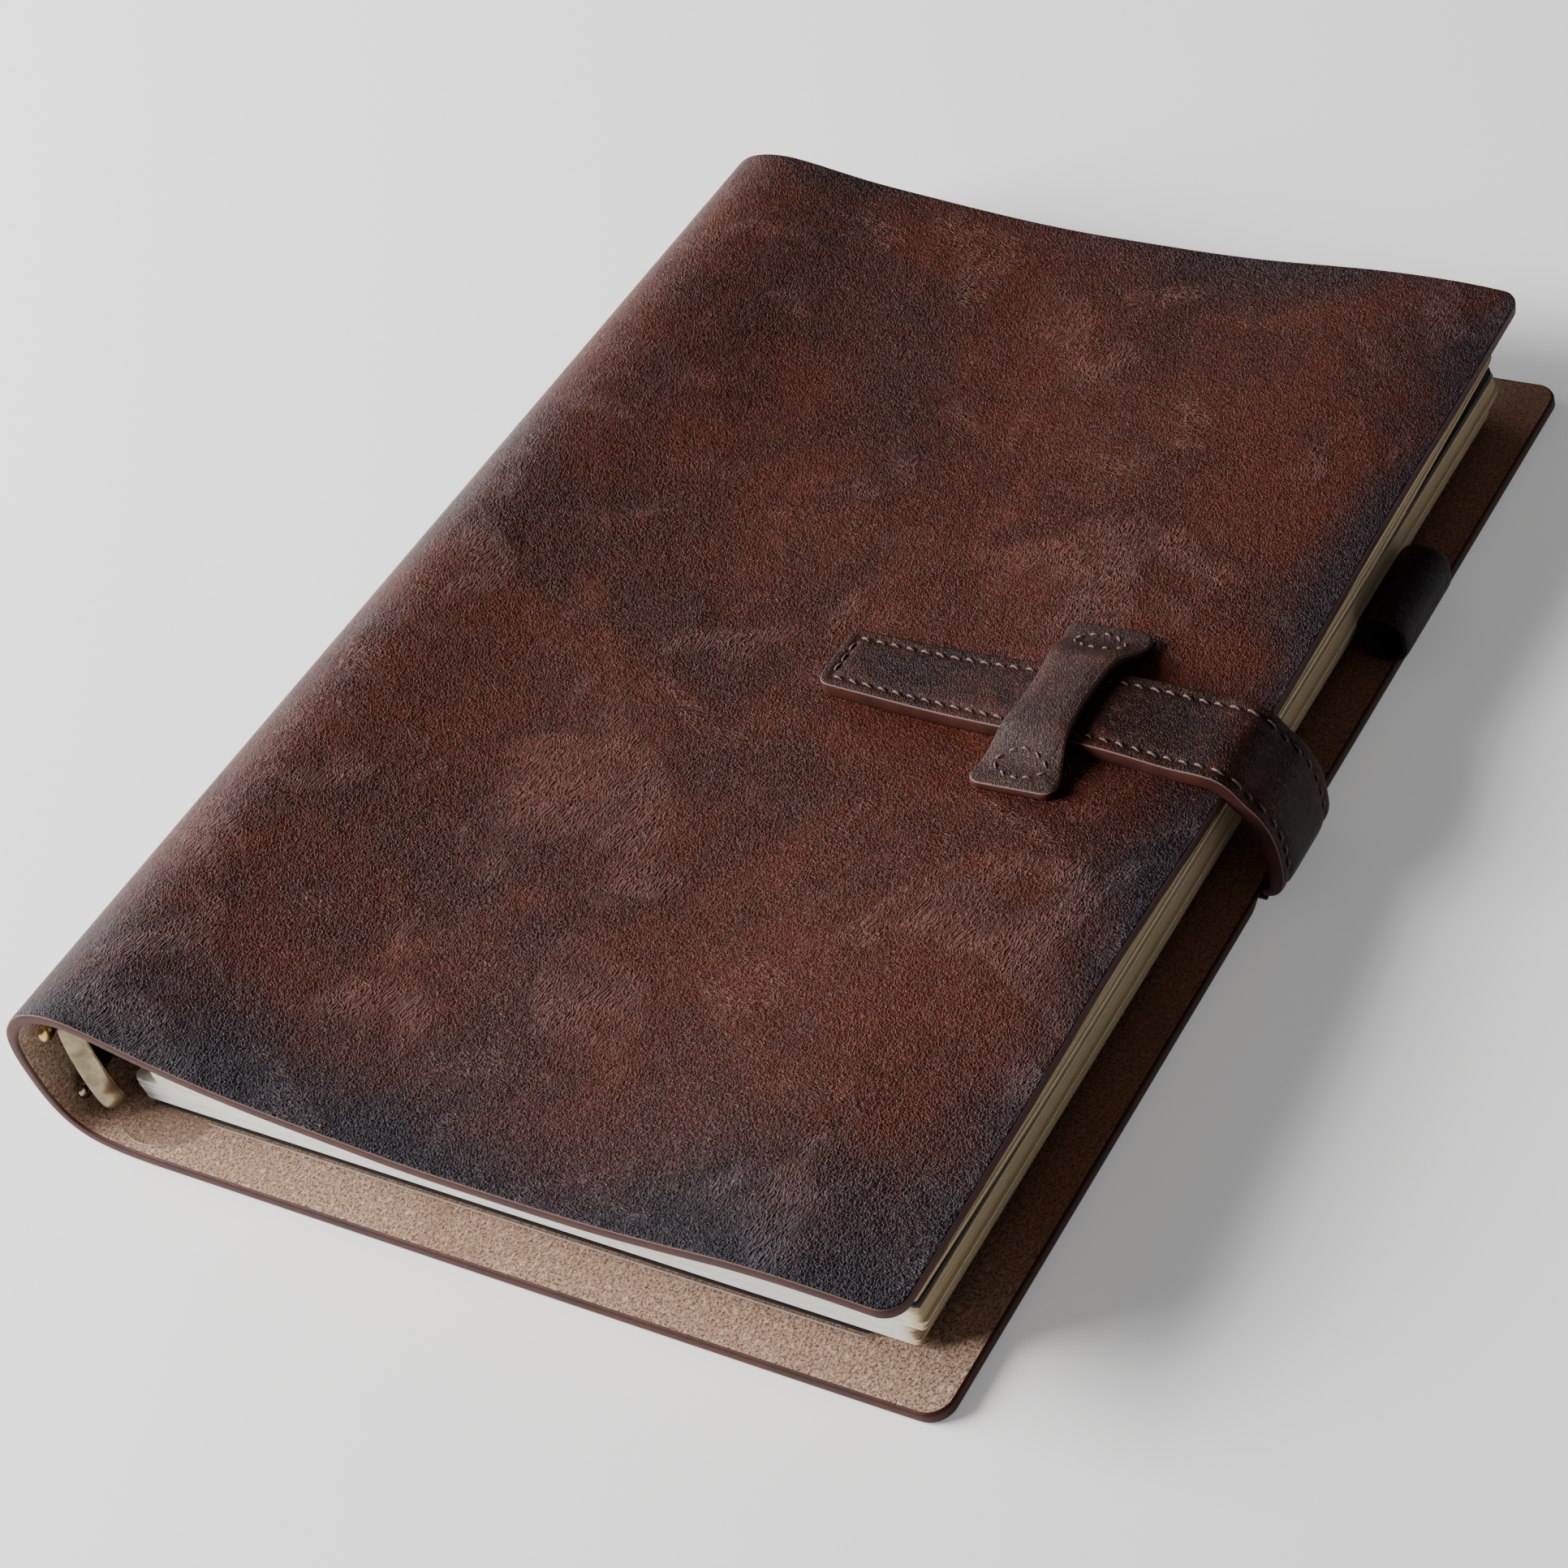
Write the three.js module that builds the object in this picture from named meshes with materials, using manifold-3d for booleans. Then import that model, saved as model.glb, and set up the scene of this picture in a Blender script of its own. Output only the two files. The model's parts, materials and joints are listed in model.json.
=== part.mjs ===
// A5 six-ring binder with a one-piece leather cover, closed by a strap and keeper.
// Millimetres, +Z up. X runs from the spine to the fore-edge, Y from the tail edge to
// the head edge. The origin is under the middle of the bounding box, on the table.
import * as THREE from 'three';
import { mergeVertices } from 'three/addons/utils/BufferGeometryUtils.js';
import Module from 'manifold-3d';

const wasm = await Module();
wasm.setup();

// ---- driving dimensions -------------------------------------------------------------
const LEATHER = 2.1;
const COVER_LENGTH = 228;
const REAR_WIDTH = 165;
const FRONT_WIDTH = 158.5;
const LOWER_FOLD_R = 12;
const UPPER_FOLD_R = 10;
const SPINE_HEIGHT = 30;
const CORNER_R = 4;
const GAP = 0.3;

const PAGE_WIDTH = 142;
const PAGE_LENGTH = 210;
const PAGE_LEFT = 12;
const PAGE_TAIL = 9.3;
const LOWER_BLOCK = [3.9, 12.3];
const UPPER_BLOCK = [13.5, 18.6];

const RING_CENTRE = [13.5, 14.4];
const RING_R = 9.6;
const WIRE_R = 1.1;
const RING_OFFSETS = [-73, -54, -35, 35, 54, 73];
const RING_MIDDLE_Y = PAGE_TAIL + PAGE_LENGTH / 2;

const PLATE_ENDS = [14.5, 214];
const PLATE_HALF_WIDTH = 7.4;
const PLATE_BACK_X = 4.0;
const PLATE_CROWN_X = 6.9;
const PLATE_SHEET = 0.8;

const STRAP_Y = 113.5;
const STRAP_WIDTH = 17;
const STRAP_TIP_WIDTH = 12.5;
const STRAP_TIP_X = 87;
const STRAP_THICKNESS = 2.8;
const ROOT_THICKNESS = 1.0;
const ROOT_START_X = 122;

const KEEPER_X = 130.5;
const KEEPER_ENDS = [94.7, 131.8];
const KEEPER_WIDTH = 15;
const KEEPER_WAIST = 10.4;
const KEEPER_THICKNESS = 1.5;

// The whole book stands on z = 0, with its box centred on the origin.
const BOX_LOW_X = 0;
const BOX_HIGH_X = 170.88;

// ---- materials ----------------------------------------------------------------------
function material(color, roughness, metalness = 0) {
  return new THREE.MeshStandardMaterial({ color, roughness, metalness });
}
const LEATHER_BROWN = 0x4a2519;
const LEATHER_DARK = 0x2c1812;
const PAPER = 0xf1eee6;
const NICKEL = 0xc9c4b8;

// ---- solids -------------------------------------------------------------------------
function solid(geometry) {
  const bare = geometry.index ? geometry.clone() : geometry;
  bare.deleteAttribute('normal');
  bare.deleteAttribute('uv');
  const merged = mergeVertices(bare, 1e-4);
  return new wasm.Manifold(new wasm.Mesh({
    numProp: 3,
    vertProperties: new Float32Array(merged.attributes.position.array),
    triVerts: new Uint32Array(merged.index.array),
  }));
}

function geometryOf(manifold) {
  const mesh = manifold.getMesh();
  const geometry = new THREE.BufferGeometry();
  geometry.setAttribute('position', new THREE.BufferAttribute(new Float32Array(mesh.vertProperties), 3));
  geometry.setIndex(new THREE.BufferAttribute(new Uint32Array(mesh.triVerts), 1));
  return geometry;
}

function outline(points) {
  return new THREE.Shape(points.map(([a, b]) => new THREE.Vector2(a, b)));
}

// A profile drawn in (x, z) and run along Y from `low` to `high`.
function alongY(shape, low, high, steps = 1) {
  const geometry = new THREE.ExtrudeGeometry(shape, { depth: high - low, bevelEnabled: false, steps });
  geometry.rotateX(Math.PI / 2);
  geometry.translate(0, high, 0);
  return geometry;
}

// A profile drawn in (y, z) and run along X.
function alongX(shape, low, high) {
  const geometry = new THREE.ExtrudeGeometry(shape, { depth: high - low, bevelEnabled: false });
  geometry.applyMatrix4(new THREE.Matrix4().set(0, 0, 1, low, 1, 0, 0, 0, 0, 1, 0, 0, 0, 0, 0, 1));
  return geometry;
}

// A plan drawn in (x, y) and run up Z.
function alongZ(shape, low, high) {
  const geometry = new THREE.ExtrudeGeometry(shape, {
    depth: high - low, bevelEnabled: false, curveSegments: 6,
  });
  geometry.translate(0, 0, low);
  return geometry;
}

function box([x0, y0, z0], [x1, y1, z1]) {
  const geometry = new THREE.BoxGeometry(x1 - x0, y1 - y0, z1 - z0);
  geometry.translate((x0 + x1) / 2, (y0 + y1) / 2, (z0 + z1) / 2);
  return geometry;
}

// A rectangle in plan, with its own radius at the low-X and the high-X corners.
function roundedPlan(x0, y0, x1, y1, lowR, highR) {
  const shape = new THREE.Shape();
  shape.moveTo(x0 + lowR, y0);
  shape.lineTo(x1 - highR, y0);
  shape.absarc(x1 - highR, y0 + highR, highR, -Math.PI / 2, 0, false);
  shape.absarc(x1 - highR, y1 - highR, highR, 0, Math.PI / 2, false);
  shape.lineTo(x0 + lowR, y1);
  if (lowR > 0) {
    shape.absarc(x0 + lowR, y1 - lowR, lowR, Math.PI / 2, Math.PI, false);
    shape.absarc(x0 + lowR, y0 + lowR, lowR, Math.PI, 1.5 * Math.PI, false);
  }
  return shape;
}

// ---- the cover's cross-section --------------------------------------------------------
function arcPoints(cx, cz, radius, from, to, count) {
  const points = [];
  for (let i = 0; i <= count; i += 1) {
    const angle = THREE.MathUtils.degToRad(from + (to - from) * i / count);
    points.push([cx + radius * Math.cos(angle), cz + radius * Math.sin(angle)]);
  }
  return points;
}

// The front panel is high over the rings, sags on to the pages and rises to the fore-edge.
const FRONT_TOP = new THREE.CatmullRomCurve3([
  [UPPER_FOLD_R, SPINE_HEIGHT], [16, 29.6], [24, 28.2], [33, 26.4], [53, 23.6], [73, 22.3],
  [92, 21.8], [108, 22.0], [121, 22.9], [139, 23.8], [150, 23.9], [FRONT_WIDTH, 23.6],
].map(([x, z]) => new THREE.Vector3(x, 0, z)));

// A strip of constant thickness whose outer side is the given line, travelled so that
// the thickness lies on its right-hand side.
function strip(outer, thickness) {
  const inner = outer.map(([x, z], i) => {
    const [ax, az] = outer[Math.max(i - 1, 0)];
    const [bx, bz] = outer[Math.min(i + 1, outer.length - 1)];
    const length = Math.hypot(bx - ax, bz - az);
    return [x + thickness * (bz - az) / length, z - thickness * (bx - ax) / length];
  });
  return outline([...outer, ...inner.reverse()]);
}

// The head end of the book lies lower than the tail end, and the strap presses the
// front panel down at the fore-edge.
function settle(geometry) {
  const position = geometry.attributes.position;
  for (let i = 0; i < position.count; i += 1) {
    const x = position.getX(i);
    const y = position.getY(i);
    const z = position.getZ(i);
    const rise = Math.min(Math.max((z - LOWER_FOLD_R) / 8, 0), 1);
    const tilt = 1.2 * (1 - 2 * y / COVER_LENGTH);
    const reach = Math.max((x - 90) / 70, 0);
    const press = 2.0 * reach * reach * Math.exp(-(((y - STRAP_Y) / 32) ** 2));
    position.setZ(i, z + rise * (tilt - press));
  }
  return geometry;
}

function lowerFoldLine(from, to, count) {
  return arcPoints(LOWER_FOLD_R, LOWER_FOLD_R, LOWER_FOLD_R, from, to, count);
}

function upperFoldLine(from, to, count) {
  return arcPoints(UPPER_FOLD_R, SPINE_HEIGHT - UPPER_FOLD_R, UPPER_FOLD_R, from, to, count);
}

function rearPanel() {
  const plan = roundedPlan(LOWER_FOLD_R + 1, 0, REAR_WIDTH, COVER_LENGTH, 0, CORNER_R);
  const pocket = box(
    [ROOT_START_X - GAP, STRAP_Y - STRAP_WIDTH / 2 - GAP, -1],
    [REAR_WIDTH + 5, STRAP_Y + STRAP_WIDTH / 2 + GAP, ROOT_THICKNESS + GAP],
  );
  return geometryOf(solid(alongZ(plan, 0, LEATHER)).subtract(solid(pocket)));
}

function lowerFold() {
  const line = [[LOWER_FOLD_R + 1 - GAP, 0], ...lowerFoldLine(-90, -153, 7)];
  return alongY(strip(line, LEATHER), 0, COVER_LENGTH);
}

function spinePanel() {
  const line = [...lowerFoldLine(-158, -180, 3), ...upperFoldLine(180, 169, 2)];
  return settle(alongY(strip(line, LEATHER), 0, COVER_LENGTH, 4));
}

function upperFold() {
  const line = upperFoldLine(163, 90, 7);
  return settle(alongY(strip(line, LEATHER), 0, COVER_LENGTH, 4));
}

function frontPanel() {
  const line = [[UPPER_FOLD_R - 2, SPINE_HEIGHT], ...FRONT_TOP.getSpacedPoints(16).map((p) => [p.x, p.z])];
  const sheet = alongY(strip(line, LEATHER), 0, COVER_LENGTH, 12);
  const plan = roundedPlan(UPPER_FOLD_R + GAP, 0, FRONT_WIDTH, COVER_LENGTH, 0, CORNER_R);
  return geometryOf(solid(settle(sheet)).intersect(solid(alongZ(plan, 0, 2 * SPINE_HEIGHT))));
}

// ---- strap, keeper and pen loop -------------------------------------------------------
function taperedPlan(widths) {
  const low = widths.map(([x, w]) => [x, STRAP_Y - w / 2]);
  const high = widths.map(([x, w]) => [x, STRAP_Y + w / 2]).reverse();
  return outline([...low, ...high]);
}

function strapRoot() {
  const plan = taperedPlan([
    [ROOT_START_X, STRAP_WIDTH - 1], [ROOT_START_X + 1.5, STRAP_WIDTH], [163.4, STRAP_WIDTH],
  ]);
  return alongZ(plan, 0, ROOT_THICKNESS);
}

function strapLoop() {
  const centre = new THREE.CatmullRomCurve3([
    [165.6, 1.7], [168.4, 3.6], [169.4, 7.5], [169.3, 13], [167.2, 18.6], [162.2, 22.8],
    [153, 24.8], [140, 25.3], [129, 24.9], [115, 24.3], [100, 23.8], [STRAP_TIP_X, 23.7],
  ].map(([x, z]) => new THREE.Vector3(x, 0, z)));
  const line = centre.getSpacedPoints(26);
  const outer = line.map((p, i) => {
    const t = centre.getTangentAt(i / 26);
    return [p.x + t.z * STRAP_THICKNESS / 2, p.z - t.x * STRAP_THICKNESS / 2];
  });
  const inner = line.map((p, i) => {
    const t = centre.getTangentAt(i / 26);
    return [p.x - t.z * STRAP_THICKNESS / 2, p.z + t.x * STRAP_THICKNESS / 2];
  });
  const side = outline([...outer, ...inner.reverse()]);
  const low = STRAP_Y - STRAP_WIDTH / 2;
  const band = solid(alongY(side, low, low + STRAP_WIDTH));
  const plan = taperedPlan([
    [STRAP_TIP_X - 1, STRAP_TIP_WIDTH - 3], [STRAP_TIP_X + 1.2, STRAP_TIP_WIDTH],
    [KEEPER_X, STRAP_WIDTH - 0.6], [160, STRAP_WIDTH], [175, STRAP_WIDTH],
  ]);
  return geometryOf(band.intersect(solid(alongZ(plan, -1, 40))));
}

function keeper() {
  const [low, high] = KEEPER_ENDS;
  const rest = 23.5;
  const over = 27.1;
  const under = [
    [low, rest], [low + 7.5, rest], [low + 9, rest + 1.2], [STRAP_Y - 8.8, over],
    [STRAP_Y + 8.8, over], [high - 9, rest + 1.2], [high - 7.5, rest], [high, rest],
  ];
  const top = under.map(([y, z]) => [y, z + KEEPER_THICKNESS]).reverse();
  const arch = solid(alongX(outline([...under, ...top]), KEEPER_X - 10, KEEPER_X + 10));
  const half = KEEPER_WIDTH / 2;
  const waist = KEEPER_WAIST / 2;
  const plan = new THREE.Shape();
  plan.moveTo(KEEPER_X - half, low + 4);
  plan.quadraticCurveTo(KEEPER_X - half, low, KEEPER_X, low);
  plan.quadraticCurveTo(KEEPER_X + half, low, KEEPER_X + half, low + 4);
  plan.quadraticCurveTo(KEEPER_X + waist, low + 9, KEEPER_X + waist, STRAP_Y);
  plan.quadraticCurveTo(KEEPER_X + waist, high - 9, KEEPER_X + half, high - 4);
  plan.quadraticCurveTo(KEEPER_X + half, high, KEEPER_X, high);
  plan.quadraticCurveTo(KEEPER_X - half, high, KEEPER_X - half, high - 4);
  plan.quadraticCurveTo(KEEPER_X - waist, high - 9, KEEPER_X - waist, STRAP_Y);
  plan.quadraticCurveTo(KEEPER_X - waist, low + 9, KEEPER_X - half, low + 4);
  return geometryOf(arch.intersect(solid(alongZ(plan, 15, 40))));
}

const PEN_LOOP = { low: [156.4, 157], high: [165.2, 175], height: 9.6, wall: 1.2 };

function penLoop() {
  const { low, high, height, wall } = PEN_LOOP;
  const middle = (low[0] + high[0]) / 2;
  const base = LEATHER + GAP;
  const halfWidth = (high[0] - low[0]) / 2;
  const outer = new THREE.Shape();
  outer.absellipse(middle, base + height / 2, halfWidth, height / 2, 0, 2 * Math.PI, false, 0);
  const hole = new THREE.Path();
  hole.absellipse(middle, base + height / 2, halfWidth - wall, height / 2 - wall, 0, 2 * Math.PI, true, 0);
  outer.holes.push(hole);
  const geometry = new THREE.ExtrudeGeometry(outer, {
    depth: high[1] - low[1], bevelEnabled: false, curveSegments: 10,
  });
  geometry.rotateX(Math.PI / 2);
  geometry.translate(0, high[1], 0);
  return geometry;
}

// ---- pages and sheets -----------------------------------------------------------------
const RING_SLOT_X = [14, 25];
const RING_SLOT_WIDTH = 4.4;

function cutRingSlots(block) {
  let cut = block;
  for (const offset of RING_OFFSETS) {
    const y = RING_MIDDLE_Y + offset;
    const slot = roundedPlan(
      RING_SLOT_X[0], y - RING_SLOT_WIDTH / 2, RING_SLOT_X[1], y + RING_SLOT_WIDTH / 2, 2.1, 2.1,
    );
    cut = cut.subtract(solid(alongZ(slot, 0, 30)));
  }
  return cut;
}

// The lowest sheets are lifted by the curve of the rings along their bound edge.
function lowerPages() {
  const [bottom, top] = LOWER_BLOCK;
  const right = PAGE_LEFT + PAGE_WIDTH;
  const side = outline([
    [PAGE_LEFT, bottom + 2.9], [PAGE_LEFT + 8, bottom], [right, bottom], [right, top], [PAGE_LEFT, top],
  ]);
  return geometryOf(cutRingSlots(solid(alongY(side, PAGE_TAIL, PAGE_TAIL + PAGE_LENGTH))));
}

// A black divider lies on the lower block and stands a little proud of it.
function topDivider() {
  const right = PAGE_LEFT + PAGE_WIDTH + 1.5;
  const plan = roundedPlan(PAGE_LEFT + 1.2, PAGE_TAIL + 0.4, right, PAGE_TAIL + PAGE_LENGTH, 0, 1);
  return geometryOf(cutRingSlots(solid(alongZ(plan, LOWER_BLOCK[1] + 0.3, LOWER_BLOCK[1] + 0.8))));
}

function upperPages() {
  const [bottom, top] = UPPER_BLOCK;
  const plan = roundedPlan(PAGE_LEFT, PAGE_TAIL, PAGE_LEFT + PAGE_WIDTH, PAGE_TAIL + PAGE_LENGTH, 0, 4);
  return geometryOf(cutRingSlots(solid(alongZ(plan, bottom, top))));
}

// The clear sheet's tail edge keeps just outside the pages, with a round ear by the spine.
function clearSheet() {
  const span = [LEATHER + GAP, LEATHER + GAP + 0.4];
  const ear = new THREE.Shape();
  ear.absarc(PAGE_LEFT - 1 + 8, 9.8, 8, 0, 2 * Math.PI, false);
  const panel = solid(alongZ(roundedPlan(PAGE_LEFT - 1, 8, 147, 222, 1, 1), ...span));
  return geometryOf(panel.add(solid(alongZ(ear, ...span))));
}

function blackSheet() {
  return alongZ(roundedPlan(20, 8.6, 148.5, 219.6, 4, 4), 3.1, 3.6);
}

// ---- ring mechanism -------------------------------------------------------------------
const [RING_X, RING_Z] = RING_CENTRE;

function backingStrip() {
  return box([LEATHER + GAP, 10, RING_Z - 4], [LEATHER + GAP + 0.9, 218, RING_Z + 4]);
}

// The arched cover plate, open towards the spine, with notches where the rings come out.
function archPlate() {
  const rise = PLATE_CROWN_X - PLATE_BACK_X;
  const line = [];
  for (let i = 0; i <= 10; i += 1) {
    const s = -1 + 2 * i / 10;
    const x = PLATE_BACK_X + PLATE_SHEET + (rise - PLATE_SHEET) * (1 - s ** 4);
    line.push([x, RING_Z + PLATE_HALF_WIDTH * s]);
  }
  const back = line.map(([x, z]) => [x - PLATE_SHEET, z]).reverse();
  let plate = solid(alongY(outline([...line, ...back]), ...PLATE_ENDS));
  for (const offset of RING_OFFSETS) {
    const y = RING_MIDDLE_Y + offset;
    for (const side of [-1, 1]) {
      const z0 = RING_Z + side * (PLATE_HALF_WIDTH + 1);
      const z1 = RING_Z + side * (PLATE_HALF_WIDTH - 3.6);
      plate = plate.subtract(solid(box(
        [2, y - WIRE_R - 0.5, Math.min(z0, z1)], [9, y + WIRE_R + 0.5, Math.max(z0, z1)],
      )));
    }
  }
  return geometryOf(plate.subtract(rivetHole(RIVET_Y[0])).subtract(rivetHole(RIVET_Y[1])));
}

const RIVET_Y = [RING_MIDDLE_Y - 88, RING_MIDDLE_Y + 88];
const RIVET_SHANK_R = 1.3;

function cylinderX(radius, x0, x1, y, z) {
  const geometry = new THREE.CylinderGeometry(radius, radius, x1 - x0, 16);
  geometry.rotateZ(Math.PI / 2);
  geometry.translate((x0 + x1) / 2, y, z);
  return geometry;
}

function rivetHole(y) {
  return solid(cylinderX(RIVET_SHANK_R + GAP, 3.4, 12, y, RING_Z));
}

function rivet(y) {
  const shankStart = LEATHER + 0.9 + 2 * GAP;
  const headStart = PLATE_CROWN_X + GAP;
  const profile = [
    [0, shankStart], [RIVET_SHANK_R, shankStart], [RIVET_SHANK_R, headStart], [2.9, headStart],
    [2.5, headStart + 0.3], [1.5, headStart + 0.5], [0, headStart + 0.6],
  ].map(([r, x]) => new THREE.Vector2(r, x));
  const geometry = new THREE.LatheGeometry(profile, 16);
  geometry.rotateZ(-Math.PI / 2);
  geometry.translate(0, y, RING_Z);
  return geometry;
}

const BLADE_X = [4.6, 5.3];

// Each blade carries six half rings and lies under one side of the arched plate.
function blade(side) {
  const inner = RING_Z + side * 0.25;
  const outer = RING_Z + side * 3.5;
  const bar = solid(box(
    [BLADE_X[0], PLATE_ENDS[0] + 2, Math.min(inner, outer)],
    [BLADE_X[1], PLATE_ENDS[1] - 2, Math.max(inner, outer)],
  ));
  return geometryOf(bar.subtract(rivetHole(RIVET_Y[0])).subtract(rivetHole(RIVET_Y[1])));
}

const RING_STEPS = 12;

function halfRing(side, y) {
  const startAngle = THREE.MathUtils.degToRad(146);
  const tipAngle = THREE.MathUtils.degToRad(1.2);
  const points = [];
  for (let i = 0; i <= RING_STEPS; i += 1) {
    const angle = startAngle + (tipAngle - startAngle) * i / RING_STEPS;
    const x = RING_X + RING_R * Math.cos(angle);
    points.push(new THREE.Vector3(x, y, RING_Z + side * RING_R * Math.sin(angle)));
  }
  const section = new THREE.Shape();
  section.absarc(0, 0, WIRE_R, 0, 2 * Math.PI, false);
  return new THREE.ExtrudeGeometry(section, {
    steps: RING_STEPS,
    curveSegments: 5,
    bevelEnabled: false,
    extrudePath: new THREE.CatmullRomCurve3(points),
  });
}

// An end lever: a knuckle on its pin, an arm and a broad thumb tab. Drawn for the tail.
const LEVER_PIN = { x: 5.2, y: 11.4, r: 0.7 };

function lever() {
  const knuckle = new THREE.Shape();
  knuckle.absarc(LEVER_PIN.x, LEVER_PIN.y, 1.9, 0, 2 * Math.PI, false);
  const bore = new THREE.Shape();
  bore.absarc(LEVER_PIN.x, LEVER_PIN.y, LEVER_PIN.r + GAP, 0, 2 * Math.PI, false);
  const arm = outline([[6.0, 9.8], [7.6, 4.2], [8.9, 4.7], [7.1, 11.0]]);
  const tab = outline([
    [7.3, 3.5], [8.9, 3.8], [10.4, 4.8], [11.1, 6.4], [10.4, 6.9], [9.7, 5.5], [8.6, 4.6], [7.2, 4.3],
  ]);
  const span = [RING_Z - 5, RING_Z + 5];
  const whole = solid(alongZ(knuckle, ...span))
    .add(solid(alongZ(arm, ...span)))
    .add(solid(alongZ(tab, RING_Z - 9.4, RING_Z + 9.4)))
    .subtract(solid(alongZ(bore, 0, 30)));
  return geometryOf(whole);
}

function leverPin() {
  const geometry = new THREE.CylinderGeometry(LEVER_PIN.r, LEVER_PIN.r, 12, 12);
  geometry.rotateX(Math.PI / 2);
  geometry.translate(LEVER_PIN.x, LEVER_PIN.y, RING_Z);
  return geometry;
}

function solidGeometry(geometry) {
  return geometryOf(solid(geometry));
}

// The same piece at the head end, mirrored about the middle of the rings.
function mirrored(geometry) {
  const flipped = geometry.clone();
  flipped.scale(1, -1, 1);
  flipped.translate(0, 2 * RING_MIDDLE_Y, 0);
  const index = flipped.index ?? mergeVertices(flipped).index;
  const order = Array.from(index.array);
  for (let i = 0; i < order.length; i += 3) {
    [order[i], order[i + 1]] = [order[i + 1], order[i]];
  }
  flipped.setIndex(order);
  return flipped;
}

// ---- the assembly ---------------------------------------------------------------------
const group = new THREE.Group();
const book = new THREE.Group();
book.position.set(-(BOX_LOW_X + BOX_HIGH_X) / 2, -COVER_LENGTH / 2, 0);
group.add(book);

function add(name, geometry, look) {
  const mesh = new THREE.Mesh(geometry, look);
  mesh.name = name;
  book.add(mesh);
}

add('rear_cover_leather', rearPanel(), material(LEATHER_BROWN, 0.5));
add('lower_spine_fold', lowerFold(), material(LEATHER_BROWN, 0.5));
add('spine_leather', spinePanel(), material(LEATHER_BROWN, 0.5));
add('upper_spine_fold', upperFold(), material(LEATHER_BROWN, 0.5));
add('front_cover_leather', frontPanel(), material(LEATHER_BROWN, 0.5));
add('strap_root', strapRoot(), material(LEATHER_DARK, 0.5));
add('strap_loop', strapLoop(), material(LEATHER_DARK, 0.5));
add('strap_keeper', keeper(), material(LEATHER_BROWN, 0.45));
add('pen_loop', penLoop(), material(LEATHER_DARK, 0.6));
add('lower_pages', lowerPages(), material(PAPER, 0.9));
add('upper_pages', upperPages(), material(PAPER, 0.9));
add('top_divider', topDivider(), material(0x15161a, 0.5));
add('clear_sheet', clearSheet(), material(0xd8dcdc, 0.15));
add('black_divider', blackSheet(), material(0x15161a, 0.5));
add('spine_backing_strip', backingStrip(), material(LEATHER_DARK, 0.8));
add('mechanism_plate', archPlate(), material(NICKEL, 0.25, 1));
add('blade_lower', blade(-1), material(NICKEL, 0.4, 1));
add('blade_upper', blade(1), material(NICKEL, 0.4, 1));
RING_OFFSETS.forEach((offset, i) => {
  const y = RING_MIDDLE_Y + offset;
  add(`ring_lower_${i + 1}`, halfRing(-1, y), material(NICKEL, 0.2, 1));
  add(`ring_upper_${i + 1}`, halfRing(1, y), material(NICKEL, 0.2, 1));
});
add('rivet_tail', rivet(RIVET_Y[0]), material(NICKEL, 0.3, 1));
add('rivet_head', rivet(RIVET_Y[1]), material(NICKEL, 0.3, 1));
add('lever_tail', lever(), material(NICKEL, 0.25, 1));
add('lever_head', mirrored(lever()), material(NICKEL, 0.25, 1));
add('lever_pin_tail', leverPin(), material(NICKEL, 0.4, 1));
add('lever_pin_head', mirrored(solidGeometry(leverPin())), material(NICKEL, 0.4, 1));

export default group;
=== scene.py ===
"""A closed A5 ring notebook in a leather cover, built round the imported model.

Lengths in the shaping code are millimetres in the book's own axes: x from the spine to
the fore-edge, y from the tail edge to the head edge, z up from the table. to_frame()
turns them into the model's frame, in metres.
"""

import json
import math

import bmesh
import bpy
import numpy as np
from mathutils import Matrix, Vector
from mathutils.geometry import delaunay_2d_cdt

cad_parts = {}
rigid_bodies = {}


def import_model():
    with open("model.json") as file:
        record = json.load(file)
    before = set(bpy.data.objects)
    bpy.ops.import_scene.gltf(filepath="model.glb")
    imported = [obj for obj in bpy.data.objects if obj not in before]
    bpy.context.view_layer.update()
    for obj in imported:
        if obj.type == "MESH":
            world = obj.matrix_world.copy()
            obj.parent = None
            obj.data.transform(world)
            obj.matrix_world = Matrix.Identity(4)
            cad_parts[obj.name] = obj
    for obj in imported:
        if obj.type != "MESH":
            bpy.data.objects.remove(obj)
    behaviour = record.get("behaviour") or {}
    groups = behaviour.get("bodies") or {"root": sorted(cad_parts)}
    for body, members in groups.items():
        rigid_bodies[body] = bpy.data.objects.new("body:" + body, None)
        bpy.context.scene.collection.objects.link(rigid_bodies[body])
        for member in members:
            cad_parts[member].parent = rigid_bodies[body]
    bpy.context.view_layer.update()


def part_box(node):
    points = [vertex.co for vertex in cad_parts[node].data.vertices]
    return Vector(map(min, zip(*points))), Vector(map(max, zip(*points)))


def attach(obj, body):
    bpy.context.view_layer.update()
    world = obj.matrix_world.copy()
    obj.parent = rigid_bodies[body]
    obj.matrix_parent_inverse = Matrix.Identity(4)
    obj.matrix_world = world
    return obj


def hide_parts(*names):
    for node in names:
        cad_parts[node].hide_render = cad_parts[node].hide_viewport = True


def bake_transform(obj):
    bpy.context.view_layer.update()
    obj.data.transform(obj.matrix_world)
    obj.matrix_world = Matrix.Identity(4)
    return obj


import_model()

MM = 0.001
REAR_LOW, REAR_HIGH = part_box("rear_cover_leather")
COVER_LENGTH = (REAR_HIGH[1] - REAR_LOW[1]) / MM
COVER_THICKNESS = (REAR_HIGH[2] - REAR_LOW[2]) / MM
REAR_WIDTH = 165.0
BOOK_X = REAR_HIGH[0] - REAR_WIDTH * MM
BOOK_Y = REAR_LOW[1]
CORNER_RADIUS = 4.0

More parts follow.
